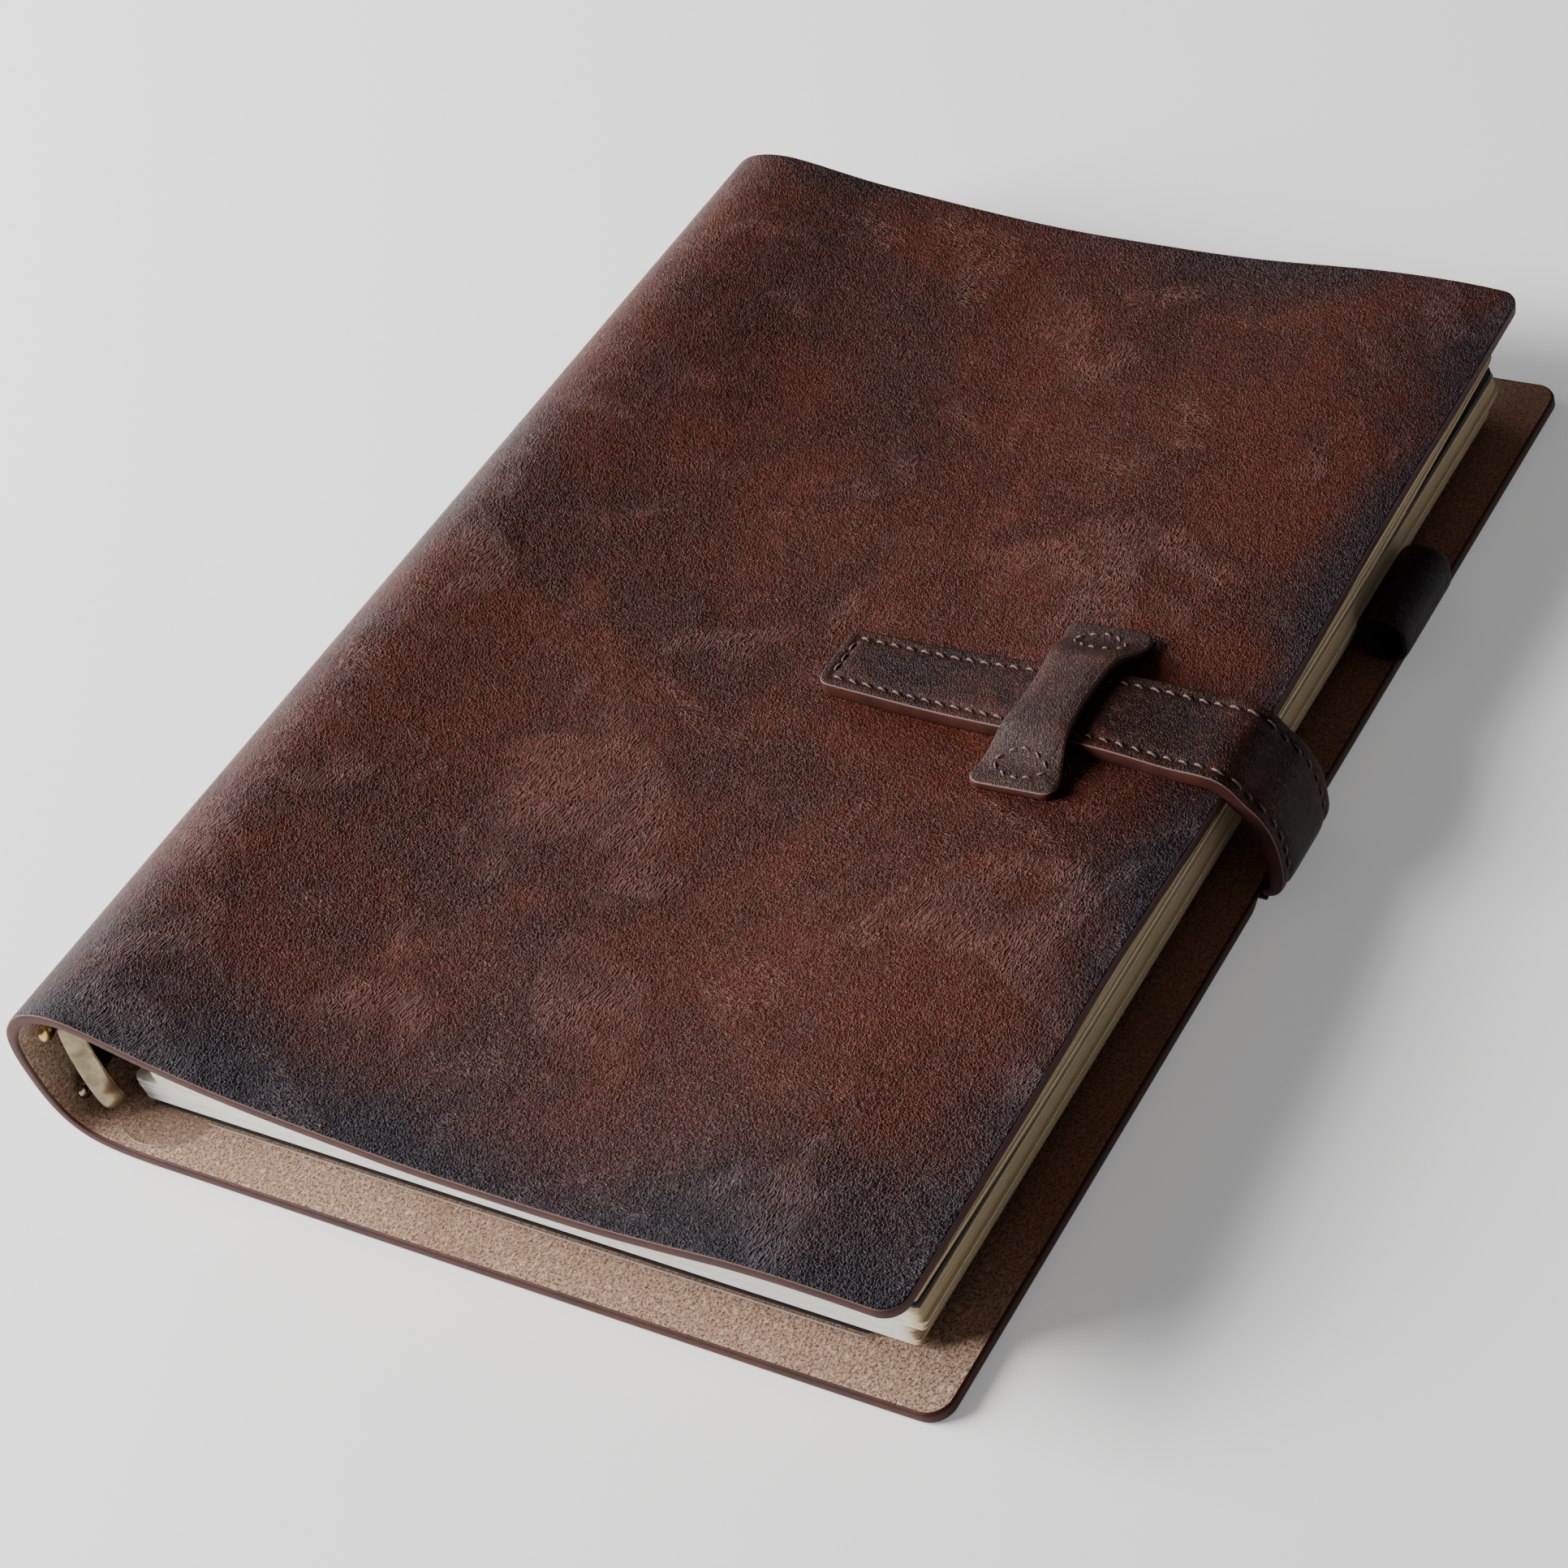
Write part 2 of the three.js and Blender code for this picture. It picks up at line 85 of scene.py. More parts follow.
rng = np.random.default_rng(7)


def to_frame(points):
    """Book millimetres to the model's frame in metres."""
    return np.asarray(points, float) * MM + np.array([BOOK_X, BOOK_Y, 0.0])


def frame_point(x, y, z):
    return tuple(to_frame([x, y, z]))


def node_box(name):
    """A node's lowest and highest corner, in book millimetres."""
    low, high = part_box(name)
    shift = np.array([BOOK_X, BOOK_Y, 0.0])
    return (np.array(low) - shift) / MM, (np.array(high) - shift) / MM


# ---- materials ----
class Nodes:
    """A short way to write a node tree."""

    def __init__(self, name):
        self.material = bpy.data.materials.new(name)
        self.material.use_nodes = True
        self.tree = self.material.node_tree
        self.tree.nodes.clear()
        self.shader = self.node("BsdfPrincipled")
        self.node("OutputMaterial", {"Surface": self.shader.outputs[0]})

    def node(self, kind, values=None, **settings):
        """A new node, with its settings and its sockets filled in."""
        made = self.tree.nodes.new("ShaderNode" + kind)
        for name, value in settings.items():
            setattr(made, name, value)
        for socket, value in (values or {}).items():
            self.put(made.inputs[socket], value)
        return made

    def put(self, socket, value):
        if isinstance(value, bpy.types.NodeSocket):
            self.tree.links.new(value, socket)
        elif isinstance(value, tuple) and len(value) == 3 and socket.type == "RGBA":
            socket.default_value = (*value, 1.0)
        else:
            socket.default_value = value

    def set(self, **values):
        for name, value in values.items():
            self.put(self.shader.inputs[name.replace("_", " ")], value)

    def flat(self):
        """The position on the uncurled sheet, in millimetres: along, across, depth."""
        return self.node("Attribute", attribute_name="flat").outputs["Vector"]

    def place(self):
        """The position in the model's frame, in millimetres."""
        coordinates = self.node("TexCoord").outputs["Object"]
        return self.scaled(coordinates, (1 / MM, 1 / MM, 1 / MM))

    def split(self, vector):
        return self.node("SeparateXYZ", {0: vector}).outputs

    def combine(self, value):
        return self.node("CombineXYZ", {0: value, 1: value, 2: value}).outputs[0]

    def noise(self, vector, size, detail=3.0, rough=0.55, distort=0.0, offset=0.0):
        """Noise whose features are about `size` long in the vector's own units."""
        shifted = self.vector("ADD", vector, (offset, offset * 0.7, offset * 1.3))
        values = {"Vector": shifted, "Scale": 1 / size, "Detail": detail, "Roughness": rough}
        values["Distortion"] = distort
        return self.node("TexNoise", values, noise_dimensions="3D").outputs["Fac"]

    def cell_edges(self, vector, size):
        """How far it is to the nearest edge, among cells about `size` across."""
        values = {"Vector": vector, "Scale": 1 / size}
        return self.node("TexVoronoi", values, feature="DISTANCE_TO_EDGE").outputs["Distance"]

    def vector(self, operation, a, b):
        return self.node("VectorMath", {0: a, 1: b}, operation=operation).outputs[0]

    def scaled(self, vector, by):
        return self.vector("MULTIPLY", vector, by)

    def math(self, operation, a, b=0.5):
        return self.node("Math", {0: a, 1: b}, operation=operation).outputs[0]

    def times(self, a, b):
        return self.math("MULTIPLY", a, b)

    def minus(self, a, b):
        return self.math("SUBTRACT", a, b)

    def ramp(self, value, low, high, out_low=0.0, out_high=1.0):
        """A smooth step from out_low to out_high as the value goes from low to high."""
        values = {"Value": value, "From Min": low, "From Max": high, "To Min": out_low}
        values["To Max"] = out_high
        return self.node("MapRange", values, interpolation_type="SMOOTHSTEP").outputs[0]

    def mix(self, factor, a, b):
        return self.node("Mix", {0: factor, 6: a, 7: b}, data_type="RGBA").outputs[2]

    def bump(self, height, distance_mm, strength=1.0, below=None):
        values = {"Strength": strength, "Distance": distance_mm * MM, "Height": height}
        if below is not None:
            values["Normal"] = below
        return self.node("Bump", values).outputs[0]


def grain(n, flat, size=0.6):
    """Fine leather grain: 1 on the thin raised lines, 0 in the small flats between them."""
    sway = n.combine(n.noise(flat, size * 3.2, detail=3))
    level = n.scaled(flat, (1.0, 1.0, 0.0))
    bent = n.vector("ADD", level, n.scaled(sway, (0.7, 0.7, 0.0)))
    line = n.ramp(n.cell_edges(bent, size), 0.24, 0.02)
    fine = n.noise(flat, size * 1.4, detail=3, rough=0.6)
    return n.times(line, n.ramp(fine, 0.3, 0.65, 0.25, 1.0))


def creases(n, flat, turn):
    """Fine wrinkles: thin raised lines round long narrow cells."""
    sway = n.combine(n.noise(flat, 6, detail=2, offset=turn * 5))
    lean = (1.9, 0.62, 0.0) if turn else (0.66, 1.9, 0.0)
    bent = n.vector("ADD", n.scaled(flat, lean), n.scaled(sway, (5, 5, 0)))
    return n.ramp(n.cell_edges(bent, 1.0), 0.24, 0.03)


def cover_leather():
    """Oiled pull-up leather: mottled red brown, dark at the cut edges, creased in patches."""
    n = Nodes("cover_leather_outside")
    flat = n.flat()
    along, across, _ = n.split(flat)
    pebble = grain(n, flat, 0.52)

    clouds = n.noise(flat, 34, detail=5, rough=0.56, distort=0.4)
    patches = n.noise(flat, 16, detail=4, rough=0.55, distort=0.5, offset=31)
    specks = n.noise(flat, 1.6, detail=3, rough=0.6, offset=7)
    zone = n.noise(flat, 24, detail=3, distort=0.6, offset=53)
    upright = n.times(creases(n, flat, 1), n.ramp(zone, 0.53, 0.66))
    level = n.times(creases(n, flat, 0), n.ramp(zone, 0.44, 0.32))
    crease = n.math("MAXIMUM", upright, level)

    brown = n.mix(n.ramp(clouds, 0.36, 0.64), DARK_BROWN, RED_BROWN)
    brown = n.mix(n.ramp(patches, 0.52, 0.76, 0, 0.65), brown, WARM_BROWN)
    brown = n.mix(n.ramp(patches, 0.46, 0.28, 0, 0.4), brown, DEEP_UMBER)
    brown = n.mix(n.ramp(specks, 0.4, 0.75, 0.0, 0.35), brown, DEEP_UMBER)

    ragged = n.times(n.minus(clouds, 0.5), 26)
    from_tail = n.math("ADD", across, ragged)
    from_head = n.math("ADD", n.minus(COVER_LENGTH, across), ragged)
    from_fore = n.math("ADD", n.minus(SHEET_LENGTH, along), ragged)
    dark = n.ramp(from_tail, 32, -3, 0, 0.97)
    dark = n.math("MAXIMUM", dark, n.ramp(from_head, 14, -4, 0, 0.6))
    dark = n.math("MAXIMUM", dark, n.ramp(from_fore, 15, -3, 0, 0.9))
    brown = n.mix(dark, brown, BLUE_BLACK)

    worn_and_highlit = n.math("MAXIMUM", n.times(crease, 0.34), n.times(pebble, 0.16))
    colour = n.mix(n.ramp(pebble, 0.35, 0.0, 0, 0.32), brown, DEEP_UMBER)
    # Pale colour on the crease lines and grain ridges: partly pull-up wear, partly painted highlight,
    # greyer and cooler in the darkened edge zones.
    colour = n.mix(worn_and_highlit, colour, n.mix(dark, PALE_WEAR_AND_HIGHLIGHT, COOL_HIGHLIGHT_AND_WEAR))

    relief = n.bump(pebble, 0.17, 1.0)
    relief = n.bump(crease, 0.22, 0.95, relief)
    relief = n.bump(n.noise(flat, 7, detail=4, offset=3), 0.9, 0.6, relief)
    rough = n.ramp(n.math("ADD", clouds, n.times(specks, 0.3)), 0.4, 0.9, 0.30, 0.42)
    n.set(Base_Color=colour, Roughness=rough, Normal=relief, Specular_IOR_Level=0.115)
    return n.material


def strap_leather(name, base, patch, size=0.42):
    """Darker, smoother leather for the strap and the keeper."""
    n = Nodes(name)
    flat = n.flat()
    pebble = grain(n, flat, size)
    clouds = n.noise(flat, 13, detail=4, rough=0.6, distort=0.6, offset=19)
    colour = n.mix(n.ramp(clouds, 0.4, 0.68), base, patch)
    drawn_out = n.scaled(flat, (1.0, 2.2, 1.0))
    scuffs = n.noise(drawn_out, 2.6, detail=4, rough=0.7, distort=0.8)
    # Pale colour on scuffed grain ridges: partly wear, partly painted highlight.
    worn_and_highlit = n.times(n.ramp(scuffs, 0.45, 0.75), n.ramp(pebble, 0.2, 0.9))
    colour = n.mix(n.times(worn_and_highlit, 0.45), colour, PALE_WEAR_AND_HIGHLIGHT)
    relief = n.bump(pebble, 0.12, 0.9)
    relief = n.bump(scuffs, 0.12, 0.6, relief)
    rough = n.ramp(clouds, 0.3, 0.8, 0.36, 0.5)
    n.set(Base_Color=colour, Roughness=rough, Normal=relief, Specular_IOR_Level=0.16)
    return n.material


def cut_edge(name, middle, rim_highlight, thickness):
    """The burnished cut edge, with a thin pale line along its outer arris: a painted highlight where the
    rounded arris catches the light.
    """
    n = Nodes(name)
    flat = n.flat()
    depth = n.split(flat)[2]
    fibres = n.noise(n.scaled(flat, (1.0, 1.0, 3.0)), 0.5, detail=4, rough=0.7)
    tone = n.noise(flat, 6, detail=3, offset=5)
    colour = n.mix(n.ramp(tone, 0.35, 0.7), middle, tuple(0.62 * c for c in middle))
    colour = n.mix(n.ramp(fibres, 0.45, 0.8, 0, 0.5), colour, tuple(0.35 * c for c in middle))
    # Painted highlight: a pale line along the outer arris.
    colour = n.mix(n.ramp(depth, 0.34, 0.1), colour, rim_highlight)
    from_seam = n.math("ABSOLUTE", n.minus(depth, thickness * 0.86))
    dark_seam = n.ramp(from_seam, 0.18, 0.0, 0, 0.5)
    colour = n.mix(dark_seam, colour, tuple(0.2 * c for c in middle))
    n.set(Base_Color=colour, Roughness=0.5, Normal=n.bump(fibres, 0.12, 0.6), Specular_IOR_Level=0.2)
    return n.material


def suede():
    """The flesh side: short fuzzy nap, tan where it is clean and rusty where it is rubbed; the book's
    shadow is painted in as dark rust along the rear cover's fore-edge strip.
    """
    n = Nodes("cover_leather_suede")
    flat = n.flat()
    nap = n.noise(flat, 0.42, detail=4, rough=0.7)
    drawn_out = n.scaled(flat, (1.0, 0.6, 1.0))
    tufts = n.noise(drawn_out, 0.7, detail=3, rough=0.65, offset=13)
    stain = n.noise(flat, 18, detail=4, rough=0.6, offset=29)
    along, across, _ = n.split(flat)
    # Painted shadow: the book's shadow on the rear cover's fore-edge strip, fading out towards the tail
    # corner, painted in as darker rust shades.
    painted_book_shadow = n.times(n.ramp(along, 17, 5, 0, 0.8), n.ramp(across, 10, 42))
    dark = n.mix(painted_book_shadow, SUEDE_SHADOW, (0.055, 0.013, 0.003))
    light = n.mix(painted_book_shadow, SUEDE_TAN, (0.42, 0.135, 0.035))
    colour = n.mix(n.ramp(nap, 0.40, 0.54), dark, light)
    pale = n.mix(painted_book_shadow, SUEDE_PALE, (0.46, 0.17, 0.05))
    colour = n.mix(n.ramp(tufts, 0.52, 0.66, 0, 0.7), colour, pale)
    colour = n.mix(n.ramp(stain, 0.5, 0.75, 0, 0.3), colour, SUEDE_RUST)
    relief = n.bump(nap, 0.7, 1.0)
    relief = n.bump(tufts, 0.7, 0.8, relief)
    n.set(Base_Color=colour, Roughness=0.97, Normal=relief)
    n.set(Specular_IOR_Level=0.15, Sheen_Weight=0.35, Sheen_Roughness=0.6, Sheen_Tint=(1.0, 0.86, 0.72, 1))
    return n.material


def paper(name, colour, shade, fore_edge):
    n = Nodes(name)
    flat = n.flat()
    fibres = n.noise(n.scaled(flat, (0.2, 0.2, 1.0)), 0.35, detail=3, rough=0.6)
    mottle = n.noise(flat, 12, detail=3, offset=17)
    tint = n.mix(n.ramp(fibres, 0.42, 0.66, 0, 0.5), colour, shade)
    tint = n.mix(n.ramp(mottle, 0.45, 0.7, 0, 0.25), tint, shade)
    # Painted shade: the fore-edge side turns tan, for the warm shade that edge lies in.
    painted_fore_edge_shade = n.ramp(n.split(flat)[0], fore_edge - 2.5, fore_edge - 0.5, 0, 0.85)
    tint = n.mix(painted_fore_edge_shade, tint, (0.68, 0.545, 0.34))
    n.set(Base_Color=tint, Roughness=0.85, Normal=n.bump(fibres, 0.05, 0.4), Specular_IOR_Level=0.3)
    return n.material


def plain(name, colour, roughness, metallic=0.0, size=6.0, vary=0.25, bump=0.02):
    """A plain material that still varies a little over the surface."""
    n = Nodes(name)
    place = n.place()
    smudge = n.noise(place, size, detail=4, rough=0.6)
    fine = n.noise(place, 0.4, detail=2)
    tint = n.mix(n.ramp(smudge, 0.35, 0.7), colour, tuple(c * (1 - vary) for c in colour))
    rough = n.ramp(smudge, 0.3, 0.75, roughness, min(roughness + 0.16, 1))
    n.set(Base_Color=tint, Roughness=rough, Normal=n.bump(fine, bump, 0.5), Metallic=metallic)
    return n.material


def clear_film():
    """Clear vinyl: it shades the suede below it a little and shines."""
    n = Nodes("clear_film")
    ripple = n.noise(n.place(), 14, detail=2)
    n.set(Base_Color=(0.22, 0.15, 0.11), Roughness=0.12, Normal=n.bump(ripple, 0.3, 0.3), Alpha=0.15)
    return n.material


def film_edge():
    n = Nodes("clear_film_edge")
    n.set(Base_Color=(0.62, 0.60, 0.57), Roughness=0.25, Alpha=0.6)
    return n.material


DARK_BROWN = (0.036, 0.0074, 0.0034)
RED_BROWN = (0.068, 0.0115, 0.0042)
WARM_BROWN = (0.098, 0.0195, 0.0062)
DEEP_UMBER = (0.005, 0.0025, 0.0025)
BLUE_BLACK = (0.0060, 0.0058, 0.0092)
# The next two colours are partly pull-up wear and partly painted highlight on raised lines.
PALE_WEAR_AND_HIGHLIGHT = (0.27, 0.108, 0.082)
COOL_HIGHLIGHT_AND_WEAR = (0.15, 0.122, 0.140)
SUEDE_TAN = (0.58, 0.36, 0.25)
SUEDE_PALE = (0.86, 0.64, 0.51)
SUEDE_RUST = (0.20, 0.075, 0.028)
SUEDE_SHADOW = (0.12, 0.05, 0.026)
# Pale colour for the cut edges' outer arris: a painted highlight.
PALE_RIM_HIGHLIGHT = (0.20, 0.12, 0.105)


# ---- sheet meshes ----
def new_object(name, vertices, faces, materials, face_materials=None, flat=None, smooth=True):
    mesh = bpy.data.meshes.new(name)
    mesh.from_pydata(to_frame(vertices).tolist(), [], [tuple(f) for f in faces])
    for material in materials:
        mesh.materials.append(material)
    if face_materials is not None:
        mesh.polygons.foreach_set("material_index", np.asarray(face_materials, np.int32))
    mesh.polygons.foreach_set("use_smooth", np.full(len(mesh.polygons), smooth))
    layer = mesh.attributes.new("flat", "FLOAT_VECTOR", "POINT")
    layer.data.foreach_set("vector", np.asarray(vertices if flat is None else flat, np.float32).ravel())
    mesh.update()
    if smooth:
        mesh.set_sharp_from_angle(angle=math.radians(62))
    made = bpy.data.objects.new(name, mesh)
    bpy.context.scene.collection.objects.link(made)
    return made


def columns(low, high, radius_low, radius_high, step, arc_steps=9):
    """Distances along a sheet, close together where its corners are rounded."""
    turn = np.linspace(0, math.pi / 2, arc_steps + 1)
    start = low + radius_low * (1 - np.cos(turn)) if radius_low > 0 else np.array([low])
    end = high - radius_high * (1 - np.cos(turn[::-1])) if radius_high > 0 else np.array([high])
    count = max(int(round((end[0] - start[-1]) / step)), 2)
    middle = np.linspace(start[-1], end[0], count + 1)[1:-1]
    return np.concatenate([start, middle, end])


def corner_trim(u, low, high, radius_low, radius_high):
    """How much the rounded corners take off each side of the sheet at distance u."""
    trim = np.zeros_like(u)
    for distance, radius in ((u - low, radius_low), (high - u, radius_high)):
        if radius > 0:
            inside = np.clip(radius - distance, 0, radius)
            trim = np.maximum(trim, radius - np.sqrt(np.maximum(radius**2 - inside**2, 0)))
    return trim


BEVEL = ((0.42, 0.0), (0.14, 0.06), (0.0, 0.36))


def thick_sheet(name, shape, length, width, thickness, materials, step=1.0, rows=None,
                corners=(0.0, 0.0), free=(True, True), bevel=BEVEL, side=None):
    """A closed sheet with rounded corners and softened edges.

    length is (low, high) along the sheet. width is its size across, or a function that
    gives the two sides at a distance. shape(u, v, depth) places points in the book.
    """
    low, high = length
    rows = rows or max(int(round(width / step)), 4)
    side = side or (lambda u: (np.zeros_like(u), np.full_like(u, width)))

    def domain(inset):
        a = low + (inset if free[0] else 0)
        b = high - (inset if free[1] else 0)
        r0 = max(corners[0] - inset, 0.02) if corners[0] else 0
        r1 = max(corners[1] - inset, 0.02) if corners[1] else 0
        base = columns(low, high, *corners, step)
        u = a + (base - low) * (b - a) / (high - low)
        trim = corner_trim(u, a, b, r0, r1)
        v0, v1 = side(u)
        v0, v1 = v0 + inset + trim, v1 - inset - trim
        s = np.linspace(0, 1, rows + 1)
        return np.repeat(u[:, None], rows + 1, 1), v0[:, None] + (v1 - v0)[:, None] * s[None, :]

    top_u, top_v = domain(bevel[0][0])
    count_u, count_v = top_u.shape
    index = np.arange(count_u * count_v).reshape(count_u, count_v)
    loop = np.concatenate([index[:, 0], index[-1, 1:], index[-2::-1, -1], index[0, -2:0:-1]])

    layers = [(top_u.ravel(), top_v.ravel(), 0.0)]
    below = [(inset, thickness - depth) for inset, depth in reversed(bevel[1:])]
    for inset, depth in [*bevel[1:], *below]:
        u, v = domain(inset)
        layers.append((u.ravel()[loop], v.ravel()[loop], depth))
    layers.append((top_u.ravel(), top_v.ravel(), thickness))

    starts = np.cumsum([0] + [len(us) for us, _, _ in layers])
    u = np.concatenate([us for us, _, _ in layers])
    v = np.concatenate([vs for _, vs, _ in layers])
    w = np.concatenate([np.full(len(us), depth) for us, _, depth in layers])
    vertices = shape(u, v, w)

    cells = np.stack([index[:-1, :-1], index[1:, :-1], index[1:, 1:], index[:-1, 1:]], -1)
    cells = cells.reshape(-1, 4)
    faces = [cells[:, ::-1]]
    marks = [np.zeros(len(cells))]
    rings = [loop] + [np.arange(len(loop)) + starts[k] for k in range(1, len(layers) - 1)]
    rings.append(loop + starts[-2])
    for k in range(len(rings) - 1):
        a, b = rings[k], rings[k + 1]
        faces.append(np.stack([a, np.roll(a, -1), np.roll(b, -1), b], -1))
        marks.append(np.full(len(loop), 0 if k == 0 else 1))
    faces.append(cells + starts[-2])
    marks.append(np.full(len(cells), 2))
    flat = np.stack([u, v, w], -1)
    return new_object(name, vertices, np.concatenate(faces), materials, np.concatenate(marks), flat)


# ---- the cover's surface ----
# Cross-sections of the cover's outer side at the tail and head edges, from the rear
# cover's fore-edge, round the spine, to the front cover's fore-edge.
TAIL_SECTION = [
    (162.6, 0.25), (150, 0), (90, 0), (30, 0), (19, 0), (12, 0.5), (7, 1.8), (3.2, 4.8), (0.9, 9.3),
    (-0.3, 14.5), (-0.8, 19.5), (-0.1, 24.0), (2.1, 27.6), (5.2, 30.4), (9.5, 32.0), (14.3, 32.3),
    (19.5, 31.4), (25, 30.0), (33, 28.1), (42, 26.5), (52, 25.2), (66, 24.2), (80, 23.3),
    (95, 22.9), (108, 23.2), (121, 24.2), (134, 25.3), (148, 25.6), (160.6, 25.3),
]
HEAD_SECTION = [
    (162.6, 0.25), (150, 0), (90, 0), (30, 0), (19, 0), (12, 0.5), (7, 1.7), (3.2, 4.3), (0.9, 8.2),
    (0.1, 12.5), (-0.1, 17.0), (0.3, 21.0), (1.9, 24.2), (4.8, 26.4), (9.0, 27.6), (13.6, 27.8),
    (18.6, 27.2), (24, 26.2), (32, 24.7), (42, 23.2), (52, 22.0), (66, 20.9), (80, 20.3),
    (95, 20.3), (108, 20.8), (121, 21.5), (134, 22.0), (147, 22.0), (157.4, 21.2),
]
STRAP_Y = 113.5


LINE_POINTS = 1600


def smooth_line(points):
    """A Catmull-Rom curve through the points."""
    p = np.array([points[0]] + list(points) + [points[-1]], float)
    spans = len(points) - 1
    t = np.linspace(0, spans, LINE_POINTS)
    k = np.minimum(t.astype(int), spans - 1)
    f = (t - k)[:, None]
    a, b, c, d = p[k], p[k + 1], p[k + 2], p[k + 3]
    square = 2 * a - 5 * b + 4 * c - d
    cube = 3 * b - a - 3 * c + d
    return 0.5 * (2 * b + (c - a) * f + square * f**2 + cube * f**3)


def distances(points):
    """How far along the line each of its points is."""
    return np.concatenate([[0], np.cumsum(np.hypot(*np.diff(points, axis=0).T))])


TAIL_LINE = smooth_line(TAIL_SECTION)
HEAD_LINE = smooth_line(HEAD_SECTION)
LINE_U = distances(TAIL_LINE)
SHEET_LENGTH = float(LINE_U[-1])
SPLIT_U = float(LINE_U[np.argmax(TAIL_LINE[:, 1] > 13.5)])


def swell(a, width):
    return np.exp(-((a / width) ** 2))


def smooth_step(a, low, high):
    t = np.clip((a - low) / (high - low), 0, 1)
    return t * t * (3 - 2 * t)


def cover_outside(u, v):
    """A point on the cover's outer side, with the soft waves of the leather."""
    t = v / COVER_LENGTH
    ends = zip(TAIL_LINE.T, HEAD_LINE.T)
    x, z = ((1 - t) * np.interp(u, LINE_U, tail) + t * np.interp(u, LINE_U, head) for tail, head in ends)
    on_front = smooth_step(u, SPLIT_U + 20, SPLIT_U + 60)
    reach = np.clip((x - 85) / 73, 0, 1)
    z = z - on_front * 2.2 * reach**2 * swell(v - STRAP_Y, 34)
    z = z + on_front * 0.35 * np.sin(x / 17.0 + 1.3) * np.sin(v / 23.0 + 0.4)
    z = z + on_front * 0.25 * np.sin((x + v) / 11.0) * np.sin((x - 0.6 * v) / 19.0 + 2.0)
    return x, z


def root_lift(x, v):
    """The rear cover is skived and raised where the strap's root is sewn under it."""
    along = smooth_step(x, ROOT_START - 3, ROOT_START)
    across = smooth_step(v, STRAP_Y - 12, STRAP_Y - 9) * (1 - smooth_step(v, STRAP_Y + 9, STRAP_Y + 12))
    return along * across


ROOT_START = node_box("strap_root")[0][0]
ROOT_THICKNESS = node_box("strap_root")[1][2]


def cover_shape(u, v, w):
    du = 0.35
    x, z = cover_outside(u, v)
    xa, za = cover_outside(np.maximum(u - du, 0), v)
    xb, zb = cover_outside(np.minimum(u + du, SHEET_LENGTH), v)
    length = np.hypot(xb - xa, zb - za)
    nx, nz = (zb - za) / length, -(xb - xa) / length
    lift = root_lift(x, v) * (1 - smooth_step(u, SPLIT_U - 60, SPLIT_U - 40))
    x = x + nx * w
    z = z + nz * w
    z = z + lift * np.where(w < COVER_THICKNESS / 2, ROOT_THICKNESS + 0.15, 0.15)
    return np.stack([x, v, z], -1)


def front_height(x, y):
    """Height of the front cover's outer side over a place on the table."""
    u = np.linspace(SPLIT_U + 12, SHEET_LENGTH, 500)
    xs, zs = cover_outside(u, np.full_like(u, y))
    return np.interp(x, xs, zs)


def make_cover():
    outside, inside = cover_leather(), suede()
    # The last colour is the painted highlight along the edge's outer arris.
    edge = cut_edge("cover_leather_edge", (0.055, 0.0125, 0.0065), (0.15, 0.085, 0.078), COVER_THICKNESS)
    looks = [outside, edge, inside]
    rear = thick_sheet(
        "cover_rear", cover_shape, (0, SPLIT_U), COVER_LENGTH, COVER_THICKNESS, looks,
        step=1.0, corners=(CORNER_RADIUS, 0), free=(True, False),
    )
    front = thick_sheet(
        "cover_front", cover_shape, (SPLIT_U, SHEET_LENGTH), COVER_LENGTH, COVER_THICKNESS, looks,
        step=0.9, corners=(0, CORNER_RADIUS), free=(False, True),
    )
    frame_point(14, STRAP_Y, 0)
    frame_point(0, STRAP_Y, 14)
    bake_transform(rear)
    frame_point(0, STRAP_Y, 18)
    frame_point(12, STRAP_Y, 30)
    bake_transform(front)
    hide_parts("rear_cover_leather", "lower_spine_fold")
    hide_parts("front_cover_leather", "upper_spine_fold", "spine_leather")


# ---- strap, keeper, pen loop ----
STRAP_THICKNESS = 2.8
STRAP_TIP_X = node_box("strap_loop")[0][0]
STRAP_HALF_ROOT = 8.5
STRAP_HALF_TIP = 6.6
STITCH_INSET = 2.0
STITCH_START = 6.0
STRAP_TOP_FROM = 700  # the first point of the strap's line that is past the fore-edge
PEN_LOOP_WALL = 1.2


def strap_line():
    """The strap's centre line: round the fore-edge, then over the front cover to its tip."""
    bend = [(162.9, 1.75), (164.4, 2.3), (165.4, 4.0), (165.8, 7.4)]
    bend += [(165.6, 12.4), (164.3, 16.7), (161.8, 19.8)]
    rest = STRAP_THICKNESS / 2 + 0.1
    lies = [(158.0, front_height(156.0, STRAP_Y) + rest + 0.35)]
    lies += [(x, float(front_height(x, STRAP_Y)) + rest) for x in np.arange(150, STRAP_TIP_X + 5, -8)]
    lies.append((STRAP_TIP_X, float(front_height(STRAP_TIP_X, STRAP_Y)) + rest))
    return smooth_line(bend + lies)


STRAP_LINE = strap_line()
STRAP_U = distances(STRAP_LINE)
STRAP_LENGTH = float(STRAP_U[-1])


def strap_half(u):
    return STRAP_HALF_ROOT + (STRAP_HALF_TIP - STRAP_HALF_ROOT) * smooth_step(u, 25, STRAP_LENGTH * 1.05)


def strap_side(u):
    half = strap_half(u)
    return STRAP_HALF_ROOT - half, STRAP_HALF_ROOT + half


